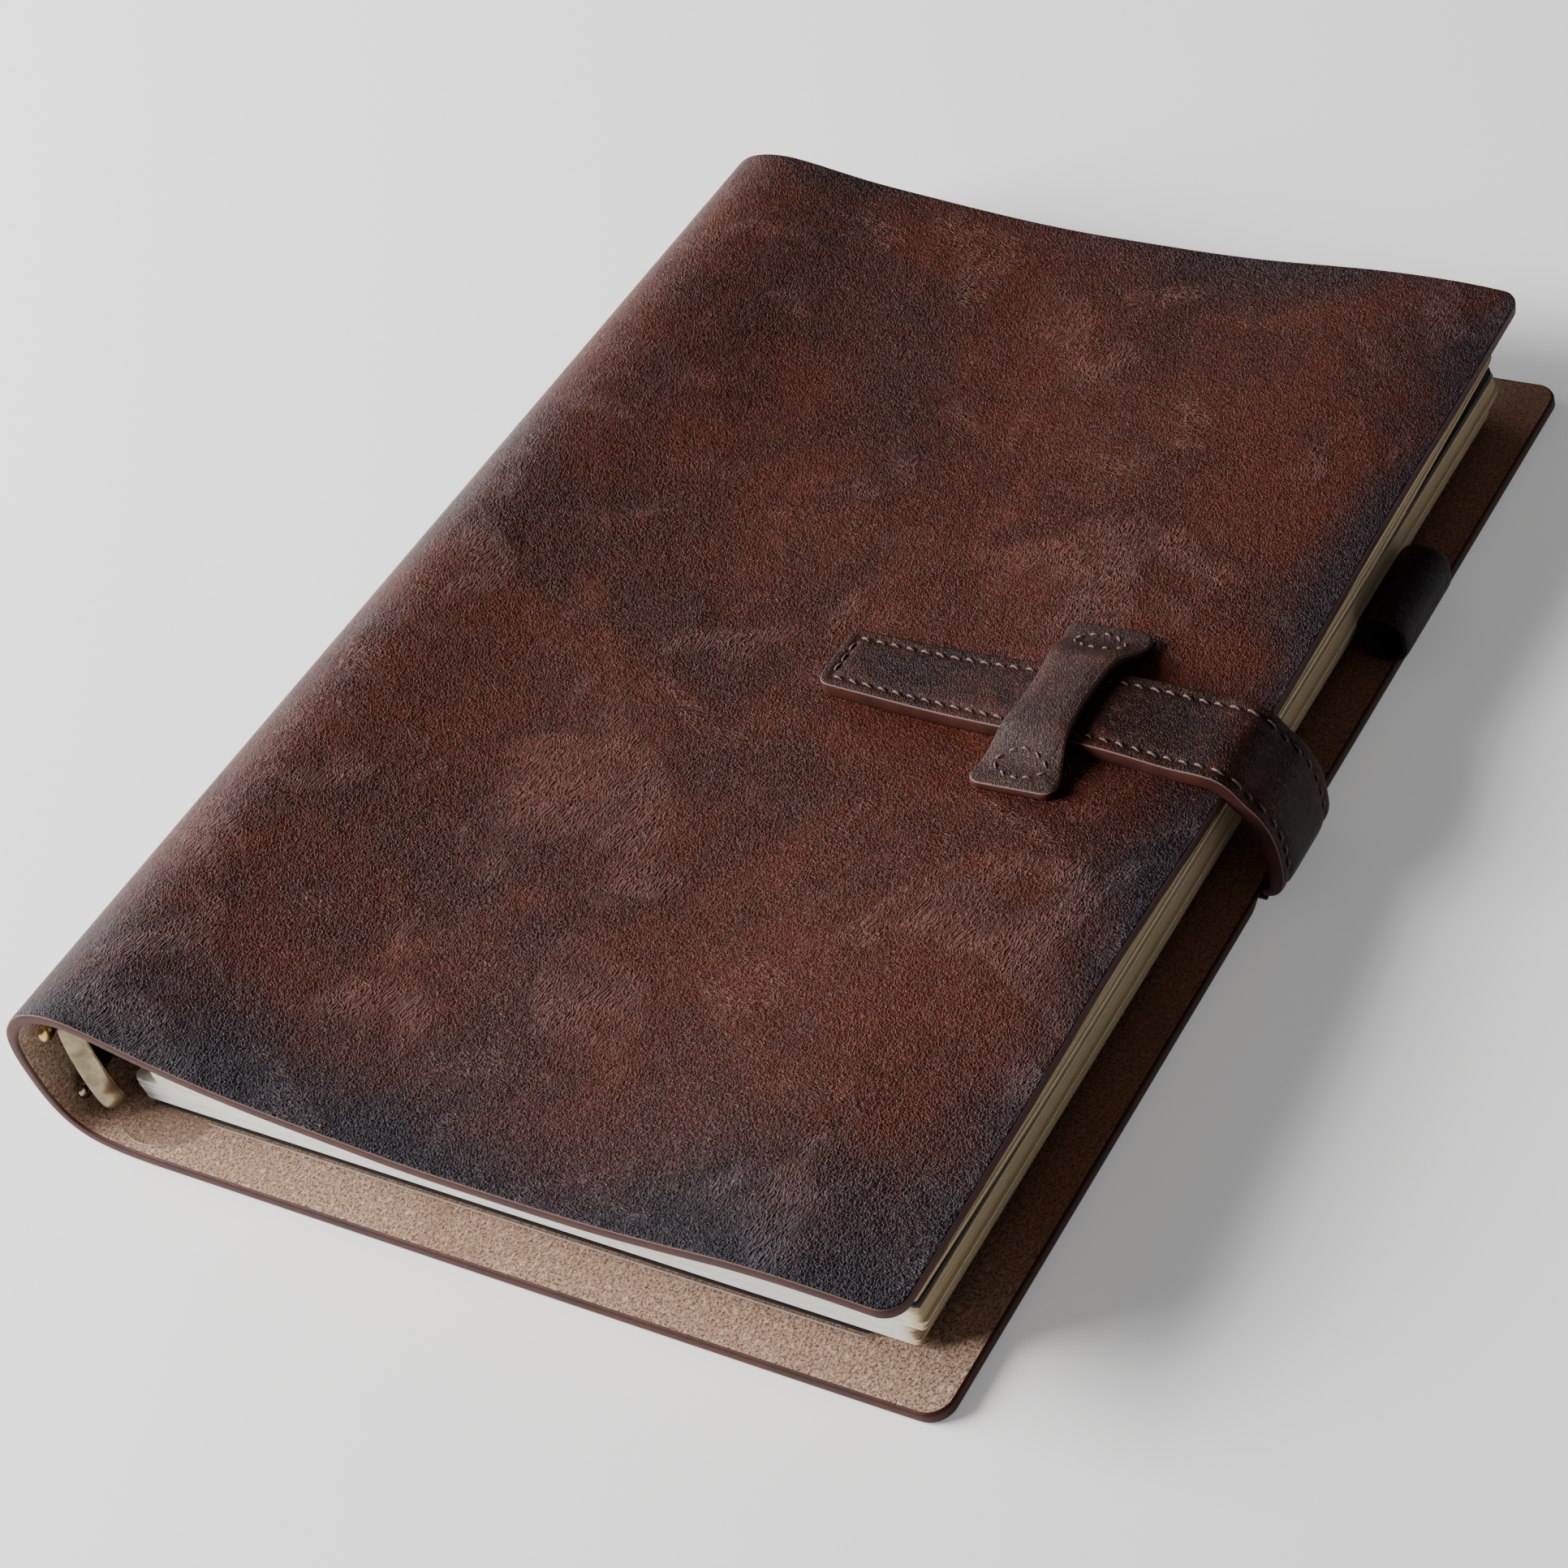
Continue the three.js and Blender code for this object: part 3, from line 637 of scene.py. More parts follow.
def strap_shape(u, v, w):
    x = np.interp(u, STRAP_U, STRAP_LINE[:, 0])
    z = np.interp(u, STRAP_U, STRAP_LINE[:, 1])
    du = 0.6
    dx, dz = (np.interp(u + du, STRAP_U, line) - np.interp(u - du, STRAP_U, line) for line in STRAP_LINE.T)
    length = np.hypot(dx, dz)
    nx, nz = dz / length, -dx / length
    y = STRAP_Y - STRAP_HALF_ROOT + v
    thin = 0.55 + 0.45 * smooth_step(u, 0, 6)
    out = (STRAP_THICKNESS / 2 - w) * thin
    from_side = strap_half(u) - np.abs(v - STRAP_HALF_ROOT)
    from_tip = STRAP_LENGTH - u
    from_edge = np.minimum(from_side, from_tip)
    crown = 0.28 * smooth_step(from_edge, 0, 4.5) * (w < STRAP_THICKNESS / 2)
    groove = 0.32 * swell(from_edge - STITCH_INSET, 0.5) * (w < 0.2)
    out = out + crown - groove
    z = z + nz * out
    x = x + nx * out
    lies = smooth_step(150 - x, 0, 12)
    tilt = front_tilt(x) * lies
    return np.stack([x, y, z + tilt * (y - STRAP_Y)], -1)


def front_tilt(x):
    """How the front cover's height changes per millimetre of y, near the strap."""
    tail, head = (np.interp(x, *line[LINE_POINTS // 2:].T) for line in (TAIL_LINE, HEAD_LINE))
    return (head - tail) / COVER_LENGTH


def tube(points, radius, sides=6):
    """Vertices and faces of a tube along the points, with flat ends."""
    p = np.asarray(points, float)
    n = len(p)
    ahead = np.gradient(p, axis=0)
    ahead /= np.linalg.norm(ahead, axis=1)[:, None]
    side = np.cross(ahead[0], (0.0, 0.0, 1.0) if abs(ahead[0][2]) < 0.9 else (0.0, 1.0, 0.0))
    rings = []
    for i in range(n):
        side = side - ahead[i] * np.dot(side, ahead[i])
        side = side / np.linalg.norm(side)
        up = np.cross(ahead[i], side)
        angle = np.arange(sides) * 2 * math.pi / sides
        r = radius[i] if np.ndim(radius) else radius
        rings.append(p[i] + r * (np.cos(angle)[:, None] * side + np.sin(angle)[:, None] * up))
    vertices = np.concatenate(rings)
    faces = []
    for i in range(n - 1):
        for k in range(sides):
            a, b = i * sides + k, i * sides + (k + 1) % sides
            faces.append((a, b, b + sides, a + sides))
    faces.append(tuple(range(sides - 1, -1, -1)))
    faces.append(tuple(range((n - 1) * sides, n * sides)))
    return vertices, faces


def join(parts):
    """Several closed shapes as one list of vertices and faces."""
    vertices, faces, start = [], [], 0
    for v, f in parts:
        vertices.append(v)
        faces += [tuple(i + start for i in face) for face in f]
        start += len(v)
    return np.concatenate(vertices), faces


def stitch(place, a, b, rise=0.16, sink=0.5, radius=0.25):
    """One stitch from a to b, in the flat coordinates that place() puts in the book."""
    t = np.linspace(0, 1, 9)
    arch = np.sin(math.pi * t) ** 0.6
    u = a[0] + (b[0] - a[0]) * t
    v = a[1] + (b[1] - a[1]) * t
    w = sink - (sink + rise) * arch
    return tube(place(u, v, w), radius * (0.75 + 0.25 * arch))


def stitch_run(place, path, pitch=2.7, length=2.0, slant=0.14):
    """Stitches along a path given in flat coordinates."""
    p = np.asarray(path, float)
    s = distances(p)
    count = max(int(round(s[-1] / pitch)), 1)
    made = []
    for k in range(count):
        middle = (k + 0.5) * s[-1] / count + rng.normal(0, 0.06)
        half = length / 2 * rng.uniform(0.92, 1.08)
        reach = (middle - half, middle + half)
        ends = [np.array([np.interp(e, s, p[:, j]) for j in (0, 1)]) for e in reach]
        along = ends[1] - ends[0]
        across = np.array([-along[1], along[0]]) * slant * rng.uniform(0.6, 1.3)
        made.append(stitch(place, ends[0] - across, ends[1] + across))
    return made


def make_strap():
    outside = strap_leather("strap_leather_outside", (0.015, 0.0052, 0.0042), (0.046, 0.0110, 0.0058))
    edge = cut_edge("strap_leather_edge", (0.065, 0.020, 0.014), PALE_RIM_HIGHLIGHT, STRAP_THICKNESS)
    looks = [outside, edge, outside]
    strap = thick_sheet(
        "strap", strap_shape, (0, STRAP_LENGTH), 2 * STRAP_HALF_ROOT, STRAP_THICKNESS, looks,
        step=0.55, rows=44, corners=(0, 2.2), free=(False, True), side=strap_side,
    )
    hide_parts("strap_loop")
    thread = thread_look()
    parts = []
    for sign in (-1, 1):
        u = np.linspace(STITCH_START, STRAP_LENGTH - STITCH_INSET, 60)
        v = STRAP_HALF_ROOT + sign * (strap_half(u) - STITCH_INSET)
        parts += stitch_run(strap_place, np.stack([u, v], -1))
    tip_v = strap_half(STRAP_LENGTH) - STITCH_INSET - 1.0
    v = STRAP_HALF_ROOT + np.linspace(-tip_v, tip_v, 20)
    parts += stitch_run(strap_place, np.stack([np.full(20, STRAP_LENGTH - STITCH_INSET), v], -1))
    threads = new_object("strap_stitches", *join(parts), [thread])
    bend = (frame_point(165.0, STRAP_Y, 1.6), frame_point(165.0, STRAP_Y, 10.5))
    for piece in (strap, threads):
        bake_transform(piece)
    return thread


def strap_place(u, v, w):
    """On the strap's outside, at the bottom of the stitch groove."""
    return strap_shape(u, v, np.full_like(u, 0.3)) + normal_of(strap_shape, u, v) * (0.1 - w)[:, None]


def normal_of(shape, u, v):
    """The outward direction of a sheet's outer side."""
    e, zero = 0.3, np.full_like(u, 0.3)
    a = shape(u + e, v, zero) - shape(u - e, v, zero)
    b = shape(u, v + e, zero) - shape(u, v - e, zero)
    n = np.cross(a, b)
    n /= np.linalg.norm(n, axis=1)[:, None]
    inward = shape(u, v, zero + 0.3) - shape(u, v, zero)
    return n * -np.sign(np.sum(n * inward, 1))[:, None]


def thread_look():
    n = Nodes("thread")
    twist = n.noise(n.place(), 0.35, detail=2)
    colour = n.mix(n.ramp(twist, 0.35, 0.65), (0.035, 0.017, 0.015), (0.16, 0.088, 0.075))
    n.set(Base_Color=colour, Roughness=0.6, Normal=n.bump(twist, 0.12, 0.8))
    return n.material


KEEPER_X = 128.3
KEEPER_Y = (94.7, 131.8)
KEEPER_THICKNESS = 1.6
KEEPER_HALF_END = 8.6
KEEPER_HALF_WAIST = 5.2
KEEPER_LENGTH = KEEPER_Y[1] - KEEPER_Y[0]
KEEPER_STITCH_END = 4.6
KEEPER_OVAL = (2.5, 4.9)


def keeper_half(u):
    middle = KEEPER_LENGTH / 2
    reach = np.abs(u - middle) / middle
    return KEEPER_HALF_WAIST + (KEEPER_HALF_END - KEEPER_HALF_WAIST) * reach**2.1


def keeper_side(u):
    half = keeper_half(u)
    return KEEPER_HALF_END - half, KEEPER_HALF_END + half


def keeper_shape(u, v, w):
    y = KEEPER_Y[0] + u
    x = KEEPER_X - KEEPER_HALF_END + v
    ground = ground_height(x, y)
    over = strap_top(x) + 0.25
    half = STRAP_HALF_ROOT - 0.6
    near = np.abs(y - STRAP_Y) - half
    rise = 1 - smooth_step(near, -0.5, 7.8)
    ridge = ground + 0.12 + (np.maximum(over - ground, 0.0)) * rise
    puff = 0.25 * np.cos(np.clip((x - KEEPER_X) / KEEPER_HALF_END, -1, 1) * math.pi / 2)
    from_side = keeper_half(u) - np.abs(v - KEEPER_HALF_END)
    from_end = np.minimum(u, KEEPER_LENGTH - u)
    soft = 0.22 * smooth_step(np.minimum(from_side, from_end), 0, 2.5) * (w < 0.5)
    z = ridge + KEEPER_THICKNESS - w + puff * rise + soft
    return np.stack([x, y, z], -1)


def ground_height(x, y):
    """The front cover's outer side, sampled once on a grid."""
    i = (x - GROUND_X[0]) / (GROUND_X[1] - GROUND_X[0])
    j = (y - GROUND_Y[0]) / (GROUND_Y[1] - GROUND_Y[0])
    i0 = np.clip(i.astype(int), 0, len(GROUND_X) - 2)
    j0 = np.clip(j.astype(int), 0, len(GROUND_Y) - 2)
    fi, fj = np.clip(i - i0, 0, 1), np.clip(j - j0, 0, 1)
    low, high = (GROUND[i0, k] * (1 - fi) + GROUND[i0 + 1, k] * fi for k in (j0, j0 + 1))
    return low * (1 - fj) + high * fj


GROUND_X = np.linspace(5, 160, 156)
GROUND_Y = np.linspace(0, COVER_LENGTH, 115)
GROUND = np.stack([front_height(GROUND_X, y) for y in GROUND_Y], 1)


def strap_top(x):
    """Height of the strap's outer side where it lies on the front cover."""
    top = STRAP_LINE[STRAP_TOP_FROM:]
    order = np.argsort(top[:, 0])
    return np.interp(x, top[order, 0], top[order, 1]) + STRAP_THICKNESS / 2 + 0.28


def keeper_place(u, v, w):
    return keeper_shape(u, v, np.full_like(u, 0.05)) + np.array([0, 0, 1.0]) * (-w)[:, None]


def make_keeper(thread):
    # Lighter, greyer browns than the strap's: partly the keeper's own colour, partly painted highlight for
    # the grey-violet sheen on its tail-side slope.
    outside = strap_leather("keeper_leather_outside", (0.034, 0.0165, 0.0150), (0.074, 0.0270, 0.0200))
    edge = cut_edge("keeper_leather_edge", (0.075, 0.023, 0.016), PALE_RIM_HIGHLIGHT, KEEPER_THICKNESS)
    looks = [outside, edge, edge]
    keeper = thick_sheet(
        "keeper", keeper_shape, (0, KEEPER_LENGTH), 2 * KEEPER_HALF_END, KEEPER_THICKNESS, looks,
        step=0.5, rows=32, corners=(3.2, 3.2), side=keeper_side,
    )
    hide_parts("strap_keeper")
    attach(keeper, "front_cover")
    parts = []
    angle = np.linspace(0, 2 * math.pi, 60)
    for centre in (KEEPER_STITCH_END, KEEPER_LENGTH - KEEPER_STITCH_END):
        u = centre + KEEPER_OVAL[0] * np.sin(angle) * np.abs(np.sin(angle))
        v = KEEPER_HALF_END + KEEPER_OVAL[1] * np.cos(angle)
        parts += stitch_run(keeper_place, np.stack([u, v], -1), pitch=2.2, length=1.6)
    threads = new_object("keeper_stitches", *join(parts), [thread])
    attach(threads, "front_cover")


def make_strap_root():
    low, high = node_box("strap_root")
    look = strap_leather("strap_root_leather", (0.0085, 0.0045, 0.0045), (0.030, 0.0095, 0.0065))

    def shape(u, v, w):
        return np.stack([low[0] + u, low[1] + v, w], -1)

    size = high - low
    root = thick_sheet(
        "strap_root_sewn", shape, (0, size[0]), size[1], size[2], [look] * 3, step=1.5, corners=(2.5, 0),
    )
    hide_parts("strap_root")
    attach(root, "rear_cover")


def make_pen_loop():
    """A loop of dark brown leather sewn flat to the rear cover's suede, painted near-black for the shade
    it lies in.
    """
    low, high = node_box("pen_loop")
    middle, (width, length, height) = (low + high) / 2, high - low
    half_x, half_z = width / 2, height / 2
    corner = 0.85 * min(half_x, half_z)
    wall, rows = PEN_LOOP_WALL, 36
    outer = rounded_rectangle(-half_x, -half_z, half_x, half_z, corner, 10)
    inner = rounded_rectangle(wall - half_x, wall - half_z, half_x - wall, half_z - wall,
                              max(corner - wall, 0.3), 10)
    count = len(outer)
    around = distances(outer)
    t = np.repeat(np.linspace(0, 1, rows + 1), count)
    ease = 0.25 * (swell(t * length, 0.4) + swell((1 - t) * length, 0.4)) / 6
    vertices, flat = [], []
    for line, depth, scale in ((outer, 0.0, 1 - ease), (inner, wall, 1 + ease)):
        x, z = (np.tile(line, (rows + 1, 1)) * scale[:, None]).T
        vertices.append(np.stack([middle[0] + x, low[1] + t * length, middle[2] + z], -1))
        flat.append(np.stack([np.tile(around, rows + 1), t * length, np.full(len(t), depth)], -1))

    faces, layer = [], (rows + 1) * count
    pairs = [(k, (k + 1) % count) for k in range(count)]
    for j in range(rows):
        for a, b in ((j * count + k, j * count + m) for k, m in pairs):
            faces.append((a, a + count, b + count, b))
            faces.append((a + layer, b + layer, b + layer + count, a + layer + count))
    marks = [0] * len(faces) + [1] * (2 * count)
    faces += [(a, b, b + layer, a + layer) for a, b in pairs]
    end = rows * count
    faces += [(a + end, a + end + layer, b + end + layer, b + end) for a, b in pairs]

    # Painted shade: both colours are near black for the shade the loop lies in; the leather itself is dark
    # brown.
    dark = strap_leather("pen_loop_leather_painted_shade", (0.004, 0.003, 0.003), (0.010, 0.005, 0.004))
    edge = cut_edge("pen_loop_edge_painted_shade", (0.018, 0.008, 0.006), (0.04, 0.022, 0.018), wall)
    vertices, flat = np.concatenate(vertices), np.concatenate(flat)
    loop = new_object("pen_loop_leather_loop", vertices, faces, [dark, edge], marks, flat)
    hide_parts("pen_loop")
    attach(loop, "rear_cover")


def rounded_rectangle(x0, y0, x1, y1, radius, steps=6):
    """Points round a rectangle with rounded corners, anticlockwise."""
    radii = radius if isinstance(radius, tuple) else (radius,) * 4
    corners = [(x1, y0, -90, -1, 1), (x1, y1, 0, -1, -1), (x0, y1, 90, 1, -1), (x0, y0, 180, 1, 1)]
    points = []
    for (x, y, start, sx, sy), r in zip(corners, radii):
        for k in range(steps + 1):
            angle = math.radians(start + 90 * k / steps)
            points.append((x + sx * r + r * math.cos(angle), y + sy * r + r * math.sin(angle)))
    return np.array(points)


# ---- pages and sheets ----
RING_MIDDLE_Y = (node_box("mechanism_plate")[0][1] + node_box("mechanism_plate")[1][1]) / 2
RING_OFFSETS = (-73, -54, -35, 35, 54, 73)
SLOT_X = (14.0, 25.0)
SLOT_WIDTH = 4.4


def thin_outline(points, spacing=12.0):
    """Extra points along the straight sides, so that a leaf can bend."""
    made = []
    for a, b in zip(points, np.roll(points, -1, axis=0)):
        steps = max(int(np.hypot(*(b - a)) // spacing), 1)
        made += [a + (b - a) * k / steps for k in range(steps)]
    return np.array(made)


def closed_edges(loops):
    """The edges that close each loop, numbered through all the loops in turn."""
    edges, start = [], 0
    for loop in loops:
        count = len(loop)
        edges += [(start + k, start + (k + 1) % count) for k in range(count)]
        start += count
    return edges


def triangulate(points, edges):
    """Points and triangles of the area inside the outline and outside the holes."""
    used, _, triangles, *_ = delaunay_2d_cdt([Vector(p) for p in points], edges, [], 2, 1e-6)
    return used, triangles


def leaf_pattern(x0, x1, y0, y1):
    """A leaf's outline, its ring holes and the triangles between them."""
    loops = [thin_outline(rounded_rectangle(x0, y0, x1, y1, (0.7, 4.0, 1.2, 1.2), 5))]
    for offset in RING_OFFSETS:
        y = RING_MIDDLE_Y + offset
        half = SLOT_WIDTH / 2
        hole = rounded_rectangle(SLOT_X[0], y - half, SLOT_X[1], y + half, half - 0.05, 4)
        loops.append(hole[::-1])
    grid = [(x, y) for x in np.arange(35, x1 - 6, 14.0) for y in np.arange(y0 + 8, y1 - 6, 12.0)]
    points = np.concatenate(loops + [np.array(grid)])
    edges = closed_edges(loops)
    used, triangles = (np.array([tuple(item) for item in items]) for items in triangulate(points, edges))
    a, b, c = used[triangles[:, 0]], used[triangles[:, 1]], used[triangles[:, 2]]
    cross = (b - a)[:, 0] * (c - a)[:, 1] - (b - a)[:, 1] * (c - a)[:, 0]
    turned = triangles.copy()
    turned[cross < 0] = turned[cross < 0][:, ::-1]
    return used, turned, np.array(edges)


def leaf_stack(name, count, pattern, levels, look, jitter=(0.28, 0.13), shift=None):
    """Paper leaves, each a closed sheet. levels(x, y, share) gives the height."""
    points, triangles, edges = pattern
    n = len(points)
    vertices, faces = [], []
    top_side = triangles + n
    sides = np.stack([edges[:, 0], edges[:, 1], edges[:, 1] + n, edges[:, 0] + n], -1)
    walk = rng.normal(0, 1, (count, 2)) * np.array(jitter) * 0.5
    group = np.repeat(rng.normal(0, 1, (count // 7 + 1, 2)), 7, 0)[:count] * np.array(jitter) * 0.6
    for k in range(count):
        move = walk[k] + group[k]
        x = points[:, 0] + move[0]
        y = points[:, 1] + move[1]
        if shift is not None:
            x = x + shift(points[:, 0], k / count)
        base = len(vertices) * 2 * n
        low = levels(x, y, k / count)
        high = levels(x, y, (k + 0.93) / count)
        vertices.append(np.concatenate([np.stack([x, y, low], -1), np.stack([x, y, high], -1)]))
        faces += (triangles[:, ::-1] + base).tolist()
        faces += (top_side + base).tolist()
        faces += (sides + base).tolist()
    made = new_object(name, np.concatenate(vertices), faces, [look], smooth=False)
    return made


def make_pages():
    low, high = node_box("lower_pages")
    look = paper("page_paper", (0.82, 0.81, 0.78), (0.74, 0.71, 0.64), high[0])
    # A warmer, darker copy of the page paper: painted shade for the leaves that lie in shade under the
    # front cover.
    tan = paper("page_paper_painted_shade", (0.80, 0.775, 0.71), (0.70, 0.64, 0.53), high[0] + 2)
    pattern = leaf_pattern(low[0], high[0], low[1], high[1])
    middle = low[2] + 0.52 * (high[2] - low[2])

    def lower_levels(x, y, share):
        return np.full_like(x, low[2] + share * (middle - 0.12 - low[2]))

    def upper_levels(x, y, share):
        return np.full_like(x, middle + share * (high[2] - middle))

    def stand_out(x, share):
        return 2.1 + 2.0 * (x < SLOT_X[0] - 0.3)

    first = leaf_stack("lower_leaves_first", 38, pattern, lower_levels, look)
    second = leaf_stack("lower_leaves_second", 36, pattern, upper_levels, tan, shift=stand_out)
    for piece in (first, second):
        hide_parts("lower_pages")
        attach(piece, "lower_page_block")

    under, over = node_box("top_divider")
    black = plain("black_divider_plastic", (0.004, 0.004, 0.005), 0.5, size=20, vary=0.3)
    pattern = leaf_pattern(under[0], over[0], under[1], over[1])

    def divider_levels(x, y, share):
        return np.full_like(x, under[2] + 0.5 * share)

    def divider_shift(x, share):
        return 0.2

    sheet = leaf_stack(
        "top_divider_sheet", 1, pattern, divider_levels, black, jitter=(0, 0), shift=divider_shift,
    )
    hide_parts("top_divider")
    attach(sheet, "lower_page_block")

    start, end = node_box("upper_pages")
    pattern = leaf_pattern(start[0], end[0], start[1], end[1])

    def bounds_of(x, y):
        reach = smooth_step(x, 40, end[0])
        gap = np.interp(y, [start[1], 50, 100, 170, end[1]], [1.6, 0.2, 0.1, 0.3, 3.2])
        bottom = start[2] * (1 - reach) + (over[2] + 0.1 + gap) * reach
        roof = ground_height(x, y) - COVER_THICKNESS - 0.5
        return bottom, np.minimum(end[2], np.where(x > 25, roof, end[2]))

    def levels(x, y, share):
        bottom, top = bounds_of(x, y)
        return bottom + share * (top - bottom)

    def lean_out(x, share):
        return 2.2 * (x > SLOT_X[1] + 2)

    upper = leaf_stack("upper_leaves", 40, pattern, levels, tan, shift=lean_out)
    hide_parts("upper_pages")
    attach(upper, "upper_page_block")


def flat_sheet(name, node, outline, looks, body):
    """A thin sheet, closed, in the place of a CAD node."""
    low, high = node_box(node)
    n = len(outline)
    vertices = [np.column_stack([outline, np.full(n, z)]) for z in (low[2], high[2])]
    faces = [tuple(range(n - 1, -1, -1)), tuple(range(n, 2 * n))]
    faces += [(k, (k + 1) % n, (k + 1) % n + n, k + n) for k in range(n)]
    marks = [0, 0] + [len(looks) - 1] * n
    made = new_object(name, np.concatenate(vertices), faces, looks, marks, smooth=False)
    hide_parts(node)
    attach(made, body)


def film_outline():
    """The clear sheet: its tail edge just outside the pages, with a round ear by the spine."""
    high = node_box("clear_sheet")[1]
    centre, radius, tail = np.array([16.8, 9.9]), 8.3, 8.7
    reach = math.acos((centre[1] - tail) / radius)
    start = -math.pi / 2 - math.radians(88)
    ear = [centre + radius * np.array([math.cos(a), math.sin(a)])
           for a in np.linspace(start, -math.pi / 2 + reach, 40)]
    rest = rounded_rectangle(centre[0] - radius, tail, high[0], high[1], (2.5, 2.5, 6.0, 1.0), 8)
    return np.array(ear + [p for p in rest if p[0] > 60 or p[1] > 60])


def divider_outline():
    """The black sheet under the pages: a tab at the tail reaches back, clear of the rings."""
    low, high = node_box("black_divider")
    tail, back, steps = low[1] + 0.5, low[0] - 5.5, 10
    body = rounded_rectangle(low[0], tail, high[0], high[1], 4.0, steps)
    tab = np.array([(low[0], tail + 22), (back, tail + 18), (back, tail + 1), (back + 1, tail)])
    return np.vstack([body[:3 * (steps + 1)], tab])


# ---- ring mechanism ----
RING_X = 13.5
RING_Z = 14.4
RING_RADIUS = 9.6
WIRE_RADIUS = 1.1


def nickel():
    n = Nodes("nickel")
    smudge = n.noise(n.place(), 5, detail=4, rough=0.6)
    colour = n.mix(n.ramp(smudge, 0.35, 0.7), (0.27, 0.225, 0.145), (0.13, 0.105, 0.065))
    n.set(Base_Color=colour, Roughness=n.ramp(smudge, 0.3, 0.75, 0.16, 0.3), Metallic=1.0)
    return n.material


def make_rings(metal):
    for side, word in ((-1, "lower"), (1, "upper")):
        for k, offset in enumerate(RING_OFFSETS):
            angle = np.radians(np.linspace(146, 1.2, 41))
            x = RING_X + RING_RADIUS * np.cos(angle)
            z = RING_Z + side * RING_RADIUS * np.sin(angle)
            points = np.stack([x, np.full_like(x, RING_MIDDLE_Y + offset), z], -1)
            vertices, faces = tube(points, WIRE_RADIUS, sides=18)
            ring = new_object(f"half_ring_{word}_{k + 1}", vertices, faces, [metal])
            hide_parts(f"ring_{word}_{k + 1}")
            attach(ring, f"{word}_ring_halves")


def lever_shape(u, v, w):
    """The thumb tab: upright, its face turned obliquely to the tail and the fore-edge."""
    s = u / LEVER_HEIGHT
    out = v / LEVER_WIDTH
    x = 7.0 + 1.1 * smooth_step(s, 0.05, 0.9) + (3.6 - 1.0 * s) * out + 0.7 * smooth_step(s, 0.8, 1)
    y = 3.4 + (1.9 + 1.3 * s) * out**1.6 + 0.5 * (1 - np.cos(math.pi * (s - 0.5)))
    nx, ny = 0.62, -0.78
    return np.stack([x - w * nx, y - w * ny, RING_Z + LEVER_HEIGHT / 2 - u], -1)


LEVER_HEIGHT = 19.4
LEVER_WIDTH = 4.6


def make_levers(metal):
    for end, name in ((0, "tail"), (1, "head")):
        def place(u, v, w):
            p = lever_shape(u, v, w)
            if end:
                p[:, 1] = 2 * RING_MIDDLE_Y - p[:, 1]
            return p

        tab = thick_sheet(
            f"lever_tab_{name}", place, (0, LEVER_HEIGHT), LEVER_WIDTH, 0.75, [metal] * 3, step=0.4,
            corners=(1.6, 2.0), bevel=((0.3, 0.0), (0.09, 0.07), (0.0, 0.25)),
        )
        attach(tab, f"{name}_lever")
        knuckle = knuckle_piece(f"lever_knuckle_{name}", end, metal)
        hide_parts(f"lever_{name}")
        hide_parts(f"lever_{name}")
        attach(knuckle, f"{name}_lever")


def knuckle_piece(name, end, metal):
    """The rolled barrel round the pin, drawn out into the arm that meets the tab."""
    pin = np.array([5.2, 11.4])

    def around(radius, degrees):
        turn = np.radians(degrees)
        return [pin + radius * np.array([math.cos(a), math.sin(a)]) for a in turn]

    outer = around(1.9, np.linspace(-20, 250, 19))
    arm = [np.array([6.0, 8.2]), np.array([7.4, 4.9]), np.array([8.6, 5.6]), np.array([7.0, 9.4])]
    outer = np.array(outer + arm)
    hole = np.array(around(1.0, np.arange(0, 360, 20)))
    loops = [outer, hole[::-1]]
    points = np.concatenate(loops)
    edges = closed_edges(loops)
    triangles = triangulate(points, edges)[1]
    n = len(points)
    spread = (RING_Z - 5, RING_Z + 5)
    vertices = np.concatenate([np.column_stack([points, np.full(n, z)]) for z in spread])
    faces = [tuple(reversed(f)) for f in triangles]
    faces += [tuple(i + n for i in f) for f in triangles]
    faces += [(a, b, b + n, a + n) for a, b in edges]
    if end:
        vertices[:, 1] = 2 * RING_MIDDLE_Y - vertices[:, 1]
    return new_object(name, vertices, faces, [metal], smooth=False)


def soften(node, look, width, segments=3):
    """A hard CAD node kept as it is, with its edges rounded off."""
    kept = bpy.data.objects[node]
    kept.data.materials.clear()
    kept.data.materials.append(look)
    bevel = kept.modifiers.new("edges", "BEVEL")
    bevel.width = width * MM
    bevel.segments = segments
    bevel.limit_method = "ANGLE"
    bevel.angle_limit = math.radians(35)
    for polygon in kept.data.polygons:
        polygon.use_smooth = False


def make_lug(name, place, metal):
    """A small domed end of the mechanism's base, fixed on the spine's suede."""
    turn = np.arange(16) * 2 * math.pi / 16
    profile = [(1.75, 0.0), (1.9, 0.25), (1.8, 0.6), (1.35, 0.95), (0.75, 1.15), (0.25, 1.2)]
    x, y, z = place
    vertices = [(x + h, y + r * math.cos(t), z + r * math.sin(t)) for r, h in profile for t in turn]
    faces = [tuple(range(16)), tuple(range(len(vertices) - 1, len(vertices) - 17, -1))]
    for k in range(len(profile) - 1):
        for i in range(16):
            a, b = k * 16 + i, k * 16 + (i + 1) % 16
            faces.append((a, b, b + 16, a + 16))
    made = new_object(name, np.array(vertices), faces, [metal])
    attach(made, "spine")


